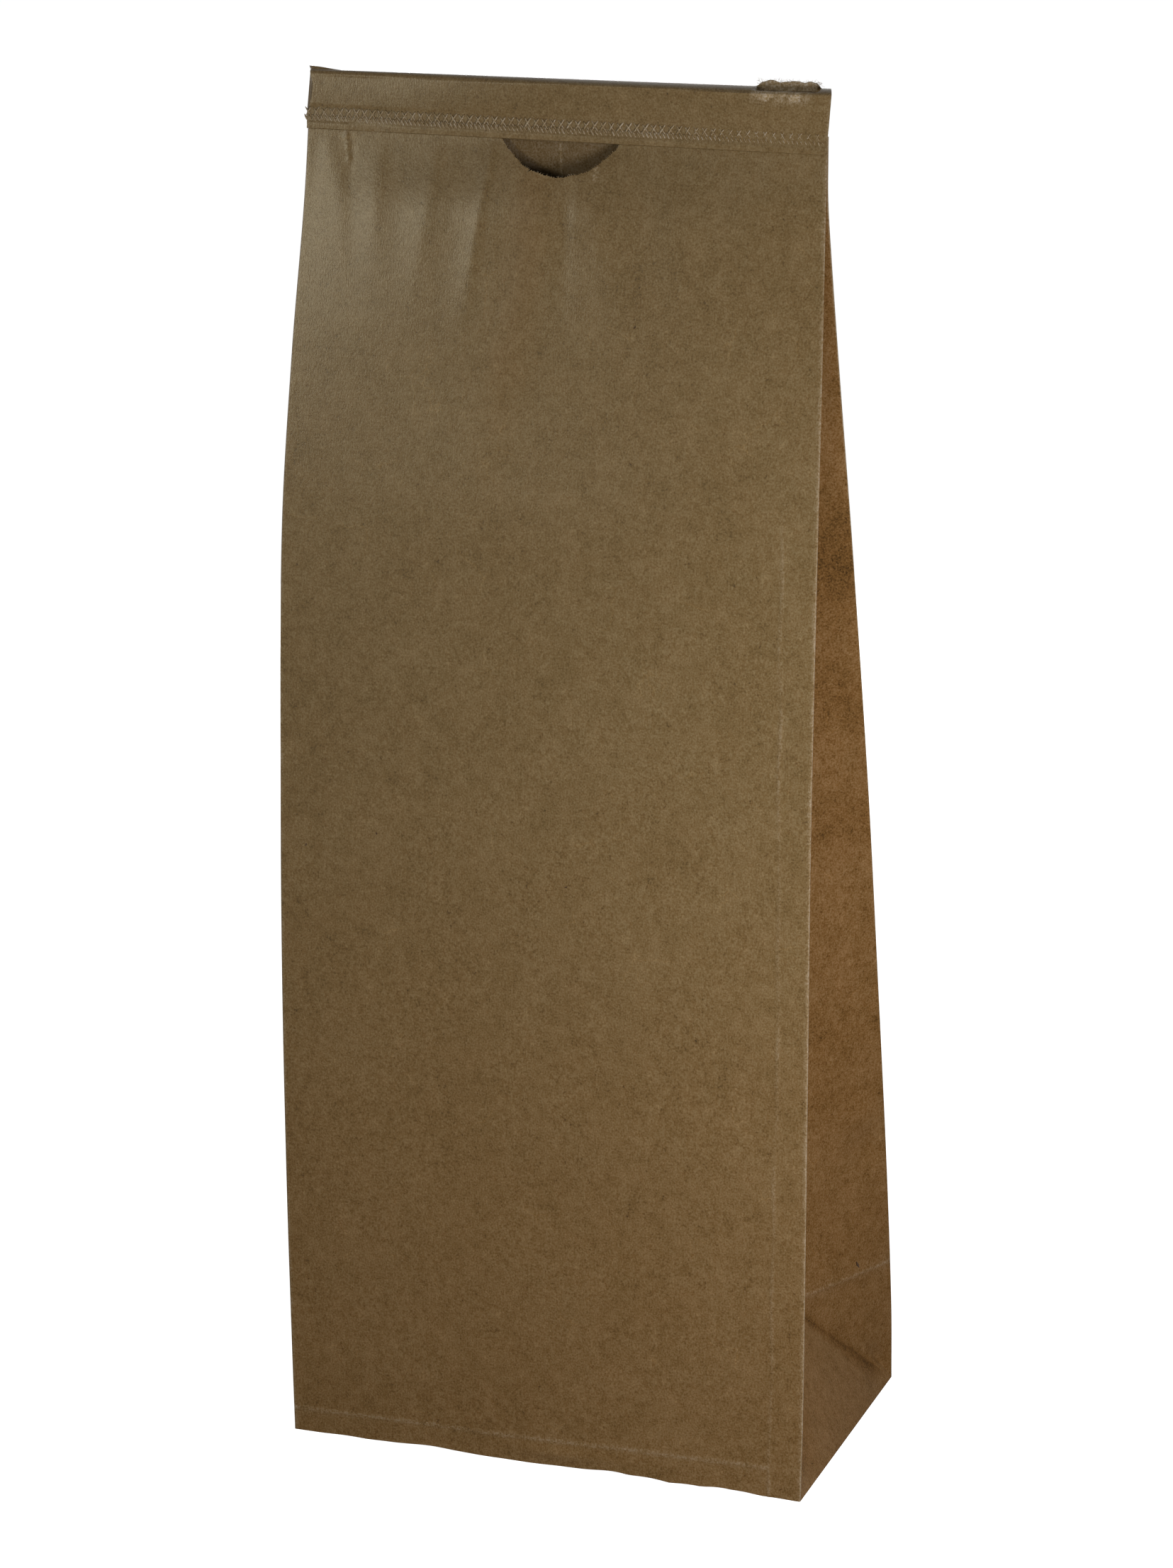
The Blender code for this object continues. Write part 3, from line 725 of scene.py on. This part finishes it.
opened = smoothstep(TORN_START, TORN_START + 0.0015, x) * (1 - smoothstep(TORN_END - 0.001, TORN_END, x))
rubbed = np.maximum(rubbed, opened * smoothstep(-0.0006, 0.0002, z))
layer.data.foreach_set("value", np.clip(np.maximum(rubbed, ends + 0 * y), 0, 1).ravel().astype(np.float32))
mesh = bmesh.new()
mesh.from_mesh(folded_top.data)
bmesh.ops.recalc_face_normals(mesh, faces=mesh.faces)
mesh.to_mesh(folded_top.data)
mesh.free()
folded_top.data.set_sharp_from_angle(angle=math.radians(40))
print("The folded top has", rows, "sections of", columns, "points")

# %% [markdown]
# ## The crimp
#
# The closing tool presses a row of crosses and a row of slanted strokes into the flap. It is one
# small mark repeated every 2 mm, so Geometry Nodes make it: a line of points along the band, one
# mark on each, turned and sized a little differently, and fading towards the right, where the
# tool pressed less. The marks are low, rounded ridges, half sunk in the flap, and painted paler
# than the flap as a highlight.

# %% A helper for node trees
def new_tree(name, sockets):
    """A geometry node tree with those named inputs. Returns the tree, its input and output nodes."""
    tree = bpy.data.node_groups.new(name, "GeometryNodeTree")
    tree.interface.new_socket("Geometry", in_out="INPUT", socket_type="NodeSocketGeometry")
    for label, kind in sockets:
        tree.interface.new_socket(label, in_out="INPUT", socket_type="NodeSocket" + kind)
    tree.interface.new_socket("Geometry", in_out="OUTPUT", socket_type="NodeSocketGeometry")
    return tree, tree.nodes.new("NodeGroupInput"), tree.nodes.new("NodeGroupOutput")


def add_node(tree, kind, links=None, **settings):
    """A node with its settings, and with its inputs joined or filled by index or name."""
    node = tree.nodes.new(kind)
    for key, value in settings.items():
        setattr(node, key, value)
    for key, value in (links or {}).items():
        if isinstance(value, bpy.types.NodeSocket):
            tree.links.new(value, node.inputs[key])
        else:
            node.inputs[key].default_value = value
    return node


def run_tree(thing, tree, values):
    """Puts the tree on the object, sets its inputs by identifier, and makes the result plain."""
    modifier = thing.modifiers.new(tree.name, "NODES")
    modifier.node_group = tree
    for item in tree.interface.items_tree:
        if item.item_type == "SOCKET" and item.in_out == "INPUT" and item.name in values:
            modifier[item.identifier] = values[item.name]
    return made_plain(thing)


# %% The tree that lays a row of marks
def marks_tree():
    tree, given, result = new_tree("row_of_marks", [
        ("Mark Length", "Float"), ("Mark Width", "Float"), ("Mark Rise", "Float"), ("Lean", "Float"),
        ("Turn", "Float"), ("Unevenness", "Float"), ("Fade Start", "Float"), ("Fade End", "Float"), ("Seed", "Int"),
        ("Paper", "Material"),
    ])
    link = tree.links.new
    ball = add_node(tree, "GeometryNodeMeshUVSphere", {"Segments": 8, "Rings": 6, "Radius": 0.5})
    size = add_node(tree, "ShaderNodeCombineXYZ", {
        "X": given.outputs["Mark Length"], "Y": given.outputs["Mark Rise"], "Z": given.outputs["Mark Width"]})
    mark = add_node(tree, "GeometryNodeTransform", {"Geometry": ball.outputs["Mesh"], "Scale": size.outputs[0]})
    place = add_node(tree, "GeometryNodeInputPosition")
    across = add_node(tree, "ShaderNodeSeparateXYZ", {0: place.outputs[0]})
    fade = add_node(tree, "ShaderNodeMapRange", {
        "Value": across.outputs["X"], "From Min": given.outputs["Fade Start"],
        "From Max": given.outputs["Fade End"], "To Min": 1.0, "To Max": 0.62})
    least = add_node(tree, "ShaderNodeMath", {0: 1.0, 1: given.outputs["Unevenness"]}, operation="SUBTRACT")
    most = add_node(tree, "ShaderNodeMath", {0: 1.0, 1: given.outputs["Unevenness"]}, operation="ADD")
    uneven = add_node(tree, "FunctionNodeRandomValue", {
        2: least.outputs[0], 3: most.outputs[0], "Seed": given.outputs["Seed"]}, data_type="FLOAT")
    grown = add_node(tree, "ShaderNodeMath", {0: fade.outputs["Result"], 1: uneven.outputs[1]}, operation="MULTIPLY")
    back = add_node(tree, "ShaderNodeMath", {0: given.outputs["Unevenness"], 1: -0.5}, operation="MULTIPLY")
    ahead = add_node(tree, "ShaderNodeMath", {0: given.outputs["Unevenness"], 1: 0.5}, operation="MULTIPLY")
    shaken = add_node(tree, "FunctionNodeRandomValue", {
        2: back.outputs[0], 3: ahead.outputs[0], "Seed": given.outputs["Seed"]}, data_type="FLOAT")
    lean = add_node(tree, "ShaderNodeMath", {0: given.outputs["Lean"], 1: shaken.outputs[1]}, operation="ADD")
    turn = add_node(tree, "ShaderNodeCombineXYZ", {"Y": lean.outputs[0], "Z": given.outputs["Turn"]})
    laid = add_node(tree, "GeometryNodeInstanceOnPoints", {
        "Points": given.outputs["Geometry"], "Instance": mark.outputs["Geometry"],
        "Rotation": turn.outputs[0], "Scale": grown.outputs[0]})
    real = add_node(tree, "GeometryNodeRealizeInstances", {0: laid.outputs[0]})
    smooth = add_node(tree, "GeometryNodeSetShadeSmooth", {0: real.outputs[0]})
    # Painted highlight: the marks are given 0.6 of the wear mark, so their ridges take the paler rubbed colour
    rubbed = add_node(tree, "GeometryNodeStoreNamedAttribute", {
        "Geometry": smooth.outputs[0], "Name": "wear_and_painted_light", "Value": 0.60}, data_type="FLOAT", domain="POINT")
    paper = add_node(tree, "GeometryNodeSetMaterial", {
        "Geometry": rubbed.outputs[0], "Material": given.outputs["Paper"]})
    link(paper.outputs[0], result.inputs[0])
    return tree


mark_tree = marks_tree()
print("The tree for the marks has", len(mark_tree.nodes), "nodes")

# %% Three rows of marks on the flap
PITCH = 0.00198


def band_points(above_edge, pitch, start):
    """Points on the flap's face, that far above its lip and that far apart."""
    x = np.arange(-FLAP_HALF + start, FLAP_HALF - 0.0008, pitch)
    z = -lip_drop(x) + above_edge
    y = np.full_like(x, FLAP_FRONT + 0.00008) + waves(x, above_edge, 95, 0.035, 0.00010)
    share = x / (2 * FLAP_HALF) + 0.5
    return on_top(x + FLAP_SHIFT * share * (1 + z / FLAP_DROP), y, z)


kraft = bpy.data.materials["kraft_outside"]
crimp_parts = []
for name, above, pitch, start, length, lean, seed in (
    ("crimp_down", 0.00370, PITCH, 0.0012, 0.0031, 0.98, 1),
    ("crimp_up", 0.00385, PITCH, 0.0012, 0.0028, -0.98, 2),
    ("crimp_short", 0.00240, PITCH / 2, 0.0006, 0.0017, 1.05, 3),
):
    points = band_points(above, pitch, start)
    row = mesh_object(name, points, [])
    run_tree(row, mark_tree, {
        "Mark Length": length, "Mark Width": 0.00040, "Mark Rise": 0.00050, "Lean": lean,
        "Turn": TOP_TWIST, "Unevenness": 0.12, "Fade Start": 0.022, "Fade End": 0.046, "Seed": seed, "Paper": kraft,
    })
    crimp_parts.append(row)
print("The crimp has", sum(len(row.data.polygons) for row in crimp_parts), "faces")

# %% [markdown]
# ## Loose fibres
#
# Where kraft paper tears or is cut by teeth, its long fibres stand out as pale fluff. Geometry
# Nodes scatter thin curved hairs along those edges: points on a line, a short hair of even thickness on
# each, with its own direction and length from a fixed seed.

# %% The tree that scatters hairs
def hair_tree():
    tree, given, result = new_tree("loose_fibres", [
        ("Hair Length", "Float"), ("Hair Thickness", "Float"), ("Lean", "Vector"), ("Spread", "Vector"),
        ("Seed", "Int"), ("Fibre", "Material"),
    ])
    path = add_node(tree, "GeometryNodeCurvePrimitiveBezierSegment", {
        "Resolution": 4, "Start": (0, 0, 0), "Start Handle": (0.1, 0, 0.4), "End Handle": (0.0, 0.1, 0.7),
        "End": (0.35, 0.1, 1.0)})
    ring = add_node(tree, "GeometryNodeCurvePrimitiveCircle", {"Resolution": 3, "Radius": 1.0})
    longer = add_node(tree, "GeometryNodeTransform", {"Geometry": path.outputs[0], "Scale": (1.0, 1.0, 1.0)})
    thin = add_node(tree, "ShaderNodeMath", {
        0: given.outputs["Hair Thickness"], 1: given.outputs["Hair Length"]}, operation="DIVIDE")
    profile = add_node(tree, "ShaderNodeCombineXYZ", {0: thin.outputs[0], 1: thin.outputs[0], 2: thin.outputs[0]})
    slim = add_node(tree, "GeometryNodeTransform", {"Geometry": ring.outputs[0], "Scale": profile.outputs[0]})
    hair = add_node(tree, "GeometryNodeCurveToMesh", {
        "Curve": longer.outputs[0], "Profile Curve": slim.outputs[0], "Fill Caps": True})
    low = add_node(tree, "ShaderNodeVectorMath", {
        0: given.outputs["Lean"], 1: given.outputs["Spread"]}, operation="SUBTRACT")
    high = add_node(tree, "ShaderNodeVectorMath", {
        0: given.outputs["Lean"], 1: given.outputs["Spread"]}, operation="ADD")
    turn = add_node(tree, "FunctionNodeRandomValue", {
        0: low.outputs[0], 1: high.outputs[0], "Seed": given.outputs["Seed"]}, data_type="FLOAT_VECTOR")
    least = add_node(tree, "ShaderNodeMath", {0: given.outputs["Hair Length"], 1: 0.3}, operation="MULTIPLY")
    size = add_node(tree, "FunctionNodeRandomValue", {
        2: least.outputs[0], 3: given.outputs["Hair Length"], "Seed": given.outputs["Seed"]}, data_type="FLOAT")
    laid = add_node(tree, "GeometryNodeInstanceOnPoints", {
        "Points": given.outputs["Geometry"], "Instance": hair.outputs[0],
        "Rotation": turn.outputs[0], "Scale": size.outputs[1]})
    real = add_node(tree, "GeometryNodeRealizeInstances", {0: laid.outputs[0]})
    fibre = add_node(tree, "GeometryNodeSetMaterial", {
        "Geometry": real.outputs[0], "Material": given.outputs["Fibre"]})
    tree.links.new(fibre.outputs[0], result.inputs[0])
    return tree


hairs = hair_tree()
pale_fibre = bpy.data.materials.new("torn_fibre")
print("The tree for the hairs has", len(hairs.nodes), "nodes")

# %% Fibres on the torn fold and round the notch
def torn_points(count, low, high, back, front, seed):
    """Points scattered along the tear, between two offsets up and two offsets across the fold."""
    dice = np.random.default_rng(seed)
    x = dice.uniform(TORN_START + 0.0006, TORN_END - 0.0004, count)
    y = dice.uniform(back, front, count)
    z = dice.uniform(low, high, count)
    return on_top(x + FLAP_SHIFT * (x / (2 * FLAP_HALF) + 0.5), y, z)


fluff = []
row = mesh_object("fluff_on_tear", torn_points(320, 0.0002, 0.0012, -0.0007, 0.0003, 4), [])
run_tree(row, hairs, {
    "Hair Length": 0.0009, "Hair Thickness": 0.000022, "Lean": (0.0, 0.0, 0.0), "Spread": (1.5, 1.5, 3.1),
    "Seed": 5, "Fibre": pale_fibre})
fluff.append(row)
row = mesh_object("fluff_on_flap", torn_points(260, -0.0019, -0.0006, FLAP_FRONT - 0.0001, FLAP_FRONT + 0.0001, 6), [])
run_tree(row, hairs, {
    "Hair Length": 0.0010, "Hair Thickness": 0.000022, "Lean": (0.0, 0.0, 0.0), "Spread": (2.4, 2.4, 3.1),
    "Seed": 7, "Fibre": pale_fibre})
fluff.append(row)


def rim_points():
    """Points on the front ply's cut edge, a little inside the paper."""
    points = []
    for x, z in outline[2:-2]:
        if z < FLAP_EDGE:
            y = float(front_y(z) - front_relief(x, z) + twist_y(x, z)) + PAPER / 2
            points.append((x, y, z - 0.00005))
    return points


row = mesh_object("fluff_on_notch", rim_points(), [])
run_tree(row, hairs, {
    "Hair Length": 0.00042, "Hair Thickness": 0.000016, "Lean": (0.0, 0.0, 0.0), "Spread": (0.8, 1.2, 3.1),
    "Seed": 9, "Fibre": pale_fibre})
fluff.append(row)
print("The fluff has", sum(len(row.data.polygons) for row in fluff), "faces")

# %% [markdown]
# ## The paper
#
# Machine-made kraft is a felt of brown fibres. From near, it is mottled between an olive and an
# orange brown, and crossed by single paler and darker fibres. Its outside is pressed smooth: its
# grain, which runs up the bag, hardly shows as colour, but as a fine relief wherever the faint sheen
# falls. The gusset is given a warmer brown than the panels, and two marks on the mesh also paint
# shade into the colour, in creases, in bands on the gussets, at the foot of the front and below the
# notch, and a highlight on the crimp. The noise is of different sizes on Object coordinates, in
# metres, so the pattern runs on over the folds and nothing depends on the photograph.

# %% The kraft material
def kraft_nodes(material, olive, orange, roughness, grain_rise, wear_and_painted_light):
    """Fills a material with mottled, fibrous paper, with painted shade and highlight from the mesh's marks."""
    material.use_nodes = True
    tree = material.node_tree
    tree.nodes.clear()
    link = tree.links.new
    shader = add_node(tree, "ShaderNodeBsdfPrincipled")
    output = add_node(tree, "ShaderNodeOutputMaterial")
    link(shader.outputs[0], output.inputs["Surface"])
    place = add_node(tree, "ShaderNodeTexCoord").outputs["Object"]

    def noise(scale, detail, stretch=(1.0, 1.0, 1.0)):
        stretched = add_node(tree, "ShaderNodeMapping", {"Vector": place, "Scale": stretch})
        return add_node(tree, "ShaderNodeTexNoise", {
            "Vector": stretched.outputs[0], "Scale": scale, "Detail": detail, "Roughness": 0.55}).outputs["Fac"]

    def mapped(value, low, high, to_low, to_high, clamp=True):
        return add_node(tree, "ShaderNodeMapRange", {
            "Value": value, "From Min": low, "From Max": high, "To Min": to_low, "To Max": to_high},
            clamp=clamp).outputs["Result"]

    def shifted(factor, amount):
        """A noise round 0, mostly within that amount."""
        return mapped(factor, 0.25, 0.75, -amount, amount, False)

    def maths(operation, first, second, third=0.0):
        return add_node(tree, "ShaderNodeMath", {0: first, 1: second, 2: third}, operation=operation).outputs[0]

    def total(*values):
        last = values[0]
        for value in values[1:]:
            last = maths("ADD", last, value)
        return last

    def blend(factor, first, second, mode="MIX"):
        node = add_node(tree, "ShaderNodeMix", {0: factor, 6: first, 7: second}, data_type="RGBA", blend_type=mode)
        return node.outputs[2]

    cloud = noise(38.0, 3.0)
    mottle = noise(420.0, 4.0)
    patches = noise(170.0, 5.0, (1.0, 1.0, 0.8))
    felt = noise(2300.0, 3.0)
    grain = noise(3600.0, 2.0, (1.0, 1.0, 0.25))
    bent = add_node(tree, "ShaderNodeTexNoise", {"Vector": place, "Scale": 420.0, "Detail": 1.0}).outputs["Color"]
    bend = add_node(tree, "ShaderNodeVectorMath", {0: bent, 1: (0.0022, 0.0022, 0.0022)}, operation="MULTIPLY")
    curly = add_node(tree, "ShaderNodeVectorMath", {0: place, 1: bend.outputs[0]}, operation="ADD")
    cells = add_node(tree, "ShaderNodeTexVoronoi", {
        "Vector": curly.outputs[0], "Scale": 560.0}, feature="DISTANCE_TO_EDGE")
    line = mapped(cells.outputs["Distance"], 0.0, 0.045, 1.0, 0.0)
    dark_fibre = maths("MULTIPLY", line, mapped(noise(700.0, 1.0), 0.54, 0.62, 0.0, 1.0))
    pale_fibre = maths("MULTIPLY", line, mapped(noise(610.0, 1.0, (1.0, 1.2, 0.9)), 0.46, 0.38, 0.0, 1.0))

    tone = total(0.5, shifted(patches, 0.20), shifted(mottle, 0.15), maths("MULTIPLY", dark_fibre, 0.5))
    brown = blend(tone, (*olive, 1.0), (*orange, 1.0))
    # The warm mark: the gusset's warmer paper, and painted shade at the front's foot and below the notch
    warmth_and_shade = add_node(tree, "ShaderNodeAttribute", attribute_name="warmth_and_shade").outputs["Fac"]
    brown = blend(warmth_and_shade, brown, blend(1.0, brown, (*WARMER, 1.0), "MULTIPLY"))
    value = total(
        1.0, shifted(cloud, 0.08), shifted(patches, 0.10), shifted(mottle, 0.20), shifted(felt, 0.48), shifted(grain, 0.14),
        maths("MULTIPLY", dark_fibre, -0.36), maths("MULTIPLY", pale_fibre, 0.32))
    # The wear mark: below 0 it darkens the paper as painted shade; above 0 it blends towards rubbed paper, which is
    # wear on folds and tears and a painted highlight on the crimp
    painted_light_and_wear = add_node(tree, "ShaderNodeAttribute", attribute_name="wear_and_painted_light").outputs["Fac"]
    value = total(value, mapped(painted_light_and_wear, -1.0, 0.0, -0.5, 0.0))
    rubbed = maths("MULTIPLY", mapped(painted_light_and_wear, 0.0, 1.0, 0.0, 1.0), maths("MULTIPLY_ADD", felt, 1.2 * wear_and_painted_light, 0.4 * wear_and_painted_light))
    brown = blend(rubbed, brown, (*RUBBED, 1.0))
    lit = add_node(tree, "ShaderNodeVectorMath", {0: brown, "Scale": value}, operation="SCALE").outputs["Vector"]
    lit = blend(1.0, lit, blend(mapped(value, 0.75, 1.25, 0.0, 1.0), (1.10, 0.97, 0.72, 1.0), (0.96, 1.01, 1.16, 1.0)), "MULTIPLY")

    creases = add_node(tree, "ShaderNodeTexVoronoi", {
        "Vector": curly.outputs[0], "Scale": 85.0}, feature="DISTANCE_TO_EDGE").outputs["Distance"]
    creased = maths("MULTIPLY", mapped(creases, 0.0, 0.014, 1.0, 0.0), mapped(noise(75.0, 2.0), 0.56, 0.66, 0.0, 0.22))
    lit = add_node(tree, "ShaderNodeVectorMath", {
        0: lit, "Scale": maths("ADD", creased, 1.0)}, operation="SCALE").outputs["Vector"]

    specks = add_node(tree, "ShaderNodeTexVoronoi", {"Vector": place, "Scale": 75.0})
    pick = add_node(tree, "ShaderNodeSeparateColor", {0: specks.outputs["Color"]}).outputs[0]
    speck = maths("MULTIPLY", mapped(specks.outputs["Distance"], 0.018, 0.030, 1.0, 0.0),
                  maths("GREATER_THAN", pick, 0.90))
    link(blend(speck, lit, (0.025, 0.012, 0.005, 1.0)), shader.inputs["Base Color"])

    height = total(shifted(grain, grain_rise), shifted(felt, 0.18), shifted(mottle, 0.25), maths("MULTIPLY", line, 0.10))
    bump = add_node(tree, "ShaderNodeBump", {"Height": height, "Strength": 1.0, "Distance": 0.00004})
    link(bump.outputs[0], shader.inputs["Normal"])
    shader.inputs["Specular Tint"].default_value = (1.0, 0.94, 0.78, 1.0)
    link(mapped(warmth_and_shade, 0.0, 1.0, roughness, 0.75), shader.inputs["Roughness"])
    link(mapped(warmth_and_shade, 0.0, 1.0, 0.30, 0.05), shader.inputs["Specular IOR Level"])


# WARMER tints the gusset's paper and the painted shade; RUBBED is rubbed paper, and also the painted highlight on the
# crimp
WARMER = (1.12, 0.93, 0.84)
RUBBED = (0.30, 0.24, 0.16)
kraft_nodes(kraft, (0.110, 0.075, 0.0300), (0.119, 0.073, 0.0270), 0.34, 0.26, 0.80)
kraft_nodes(bpy.data.materials["kraft_inside"], (0.100, 0.077, 0.042), (0.106, 0.075, 0.038), 0.75, 0.15, 0.6)
kraft_nodes(pale_fibre, (0.40, 0.32, 0.21), (0.50, 0.38, 0.25), 0.85, 0.0, 0.0)
for piece in (base_flap, folded_top):
    piece.data.materials.clear()
    piece.data.materials.append(kraft)
print("Materials:", [material.name for material in bpy.data.materials if material.name.startswith(("kraft", "torn"))])

# %% [markdown]
# ## A few dark fibres
#
# Unbleached pulp keeps bits of bark. The larger ones lie on the sheet as short dark slivers, each a
# thin box laid on the paper.

# %% Slivers of bark
# Place across, height, length and lean of each on the front, and then of one on the right gusset
SLIVERS = ((0.0200, 0.2700, 0.0007, 0.9), (0.0066, 0.1428, 0.0009, 0.4), (-0.0578, 0.1466, 0.0008, 1.2),
           (-0.0400, 0.1510, 0.0007, 1.8))
GUSSET_SLIVER = (0.68, 0.0355, 0.0022, -1.05)


def sliver(middle, along, normal, length, width=0.0003, thick=0.00010):
    """Corners of a thin box that lies on a surface, tapering to its ends."""
    side = np.cross(normal, along)
    corners = []
    for level in (-thick, thick):
        for end, half in ((-0.5, 0.2), (0.0, 1.0), (0.5, 0.3), (0.0, -1.0)):
            corners.append(middle + along * end * length + side * half * width / 2 + normal * level)
    return corners


corners = []
for x, z, length, lean in SLIVERS:
    y = float(front_y(z) - front_relief(x, z) + twist_y(x, z))
    corners += sliver(np.array([x, y, z]), np.array([math.cos(lean), 0.0, math.sin(lean)]), np.array([0.0, -1.0, 0.0]), length)
share, z, length, lean = GUSSET_SLIVER
half_points, _ = side_of_bag(np.array([z]), 41)
back_half = half_points[0, ARC_STEPS + HALF_GUSSET_COLUMNS + CREASE_COLUMNS:-ARC_STEPS]
place = back_half[round(share * (HALF_GUSSET_COLUMNS - 1))]
outward = back_half[-1] - back_half[0]
outward = np.array([outward[1], -outward[0]]) / np.hypot(*outward)
normal = np.array([outward[0], outward[1], 0.0])
level_way = np.array([-outward[1], outward[0], 0.0])
middle = np.array([place[0], place[1] + float(twist_y(place[0], z)), z])
corners += sliver(middle, level_way * math.cos(lean) + np.array([0, 0, math.sin(lean)]), normal, length, 0.00055, 0.0003)
faces = []
for i in range(0, len(corners), 8):
    faces += [(i, i + 3, i + 2, i + 1), (i + 4, i + 5, i + 6, i + 7)]
    faces += [(i + j, i + (j + 1) % 4, i + 4 + (j + 1) % 4, i + 4 + j) for j in range(4)]
bark = mesh_object("bark_slivers", corners, faces, False)
mesh = bmesh.new()
mesh.from_mesh(bark.data)
bmesh.ops.recalc_face_normals(mesh, faces=mesh.faces)
mesh.to_mesh(bark.data)
mesh.free()
kraft_nodes(bpy.data.materials.new("bark"), (0.030, 0.014, 0.006), (0.040, 0.018, 0.007), 0.70, 0.2, 0.0)
bark.data.materials.append(bpy.data.materials["bark"])
print("Slivers:", len(corners) // 8)

# %% [markdown]
# ## Join the pieces to the part
#
# All of this is the one folded sheet, so every piece rides on the part's only body and takes the place of its only
# node, whose mesh is hidden.

pieces = [sheet, base_flap, folded_top, bark] + crimp_parts + fluff
for piece in pieces:
    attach(piece, "root")
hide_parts("paper_bag")
for piece in pieces:
    print(piece.name, len(piece.data.polygons), "faces")

# %% [markdown]
# ## Camera, floor and light
#
# The camera stands 19 degrees to the right of the front and looks slightly down, with a long lens.
# A small lamp to the left and in front, level with the top, gives the sheen on the upper left and the
# shadow inside the notch. A second one, low on the right, lights the gusset and the right of the
# front, and a third one lights the back. The background is white for the camera and for
# reflections only, so it adds no light to the paper.

# %% Camera
camera_data = bpy.data.cameras.new("camera")
camera_data.sensor_width = 36.0
camera_data.lens = 97.65
camera_data.clip_start = 0.01
camera = bpy.data.objects.new("camera", camera_data)
bpy.context.scene.collection.objects.link(camera)
camera.location = (0.32001, -0.91345, 0.41080)
aim = Vector((-0.00292, 0.0, 0.15609)) - camera.location
camera.rotation_euler = aim.to_track_quat("-Z", "Y").to_euler()
bpy.context.scene.camera = camera
bpy.context.scene.view_settings.view_transform = "Standard"
print("The camera is", round(aim.length, 3), "m away")


# %% Floor and lamps
def lamp(name, place, aim_at, size, power):
    data = bpy.data.lights.new(name, "AREA")
    data.shape = "RECTANGLE"
    data.size, data.size_y = size
    data.energy = power
    thing = bpy.data.objects.new(name, data)
    thing.location = place
    thing.rotation_euler = (Vector(aim_at) - Vector(place)).to_track_quat("-Z", "Y").to_euler()
    bpy.context.scene.collection.objects.link(thing)
    return thing


AMBIENT = 0.12
FLOOR_SHADE = 0.45
sheen = lamp("sheen_lamp", (-0.405, -0.445, 0.365), (-0.02, 0, 0.31), (0.1, 0.15), 1.15)
sheen.data.color = (1.0, 0.98, 0.86)
side = lamp("side_lamp", (0.25, -0.23, 0.18), (0.03, 0, 0.08), (0.1, 0.2), 1.2)
side.data.color = (1.0, 1.0, 1.04)
lamp("back_lamp", (-0.42, 0.85, 0.24), (0, 0, 0.15), (0.4, 0.4), 5.0)


def seen_directly(tree):
    """1 for rays from the camera, and for those mirrored or let through by the object, else 0."""
    paths = add_node(tree, "ShaderNodeLightPath").outputs
    mirrored = add_node(tree, "ShaderNodeMath", {
        0: paths["Is Camera Ray"], 1: paths["Is Glossy Ray"]}, operation="MAXIMUM").outputs[0]
    return add_node(tree, "ShaderNodeMath", {0: mirrored, 1: paths["Is Transmission Ray"]}, operation="MAXIMUM").outputs[0]


floor = mesh_object("floor", [(-9, -9, 0), (9, -9, 0), (9, 9, 0), (-9, 9, 0)], [(0, 1, 2, 3)], False)
floor_paint = bpy.data.materials.new("white_floor")
floor_paint.use_nodes = True
tree = floor_paint.node_tree
tree.nodes.clear()
matt = add_node(tree, "ShaderNodeBsdfDiffuse", {"Color": (FLOOR_SHADE, FLOOR_SHADE, FLOOR_SHADE, 1.0)})
glow = add_node(tree, "ShaderNodeEmission", {"Color": (1, 1, 1, 1), "Strength": add_node(tree, "ShaderNodeMath", {
    0: seen_directly(tree), 1: 1.01 - FLOOR_SHADE * AMBIENT}, operation="MULTIPLY").outputs[0]})
both = add_node(tree, "ShaderNodeAddShader", {0: matt.outputs[0], 1: glow.outputs[0]})
add_node(tree, "ShaderNodeOutputMaterial", {"Surface": both.outputs[0]})
floor.data.materials.append(floor_paint)

world = bpy.data.worlds.new("studio")
bpy.context.scene.world = world
world.use_nodes = True
tree = world.node_tree
tree.nodes.clear()
white = add_node(tree, "ShaderNodeBackground", {"Color": (1, 1, 1, 1), "Strength": 1.0})
dim = add_node(tree, "ShaderNodeBackground", {"Color": (1, 1, 1, 1), "Strength": AMBIENT})
sky = add_node(tree, "ShaderNodeMixShader", {0: seen_directly(tree), 1: dim.outputs[0], 2: white.outputs[0]})
add_node(tree, "ShaderNodeOutputWorld", {"Surface": sky.outputs[0]})
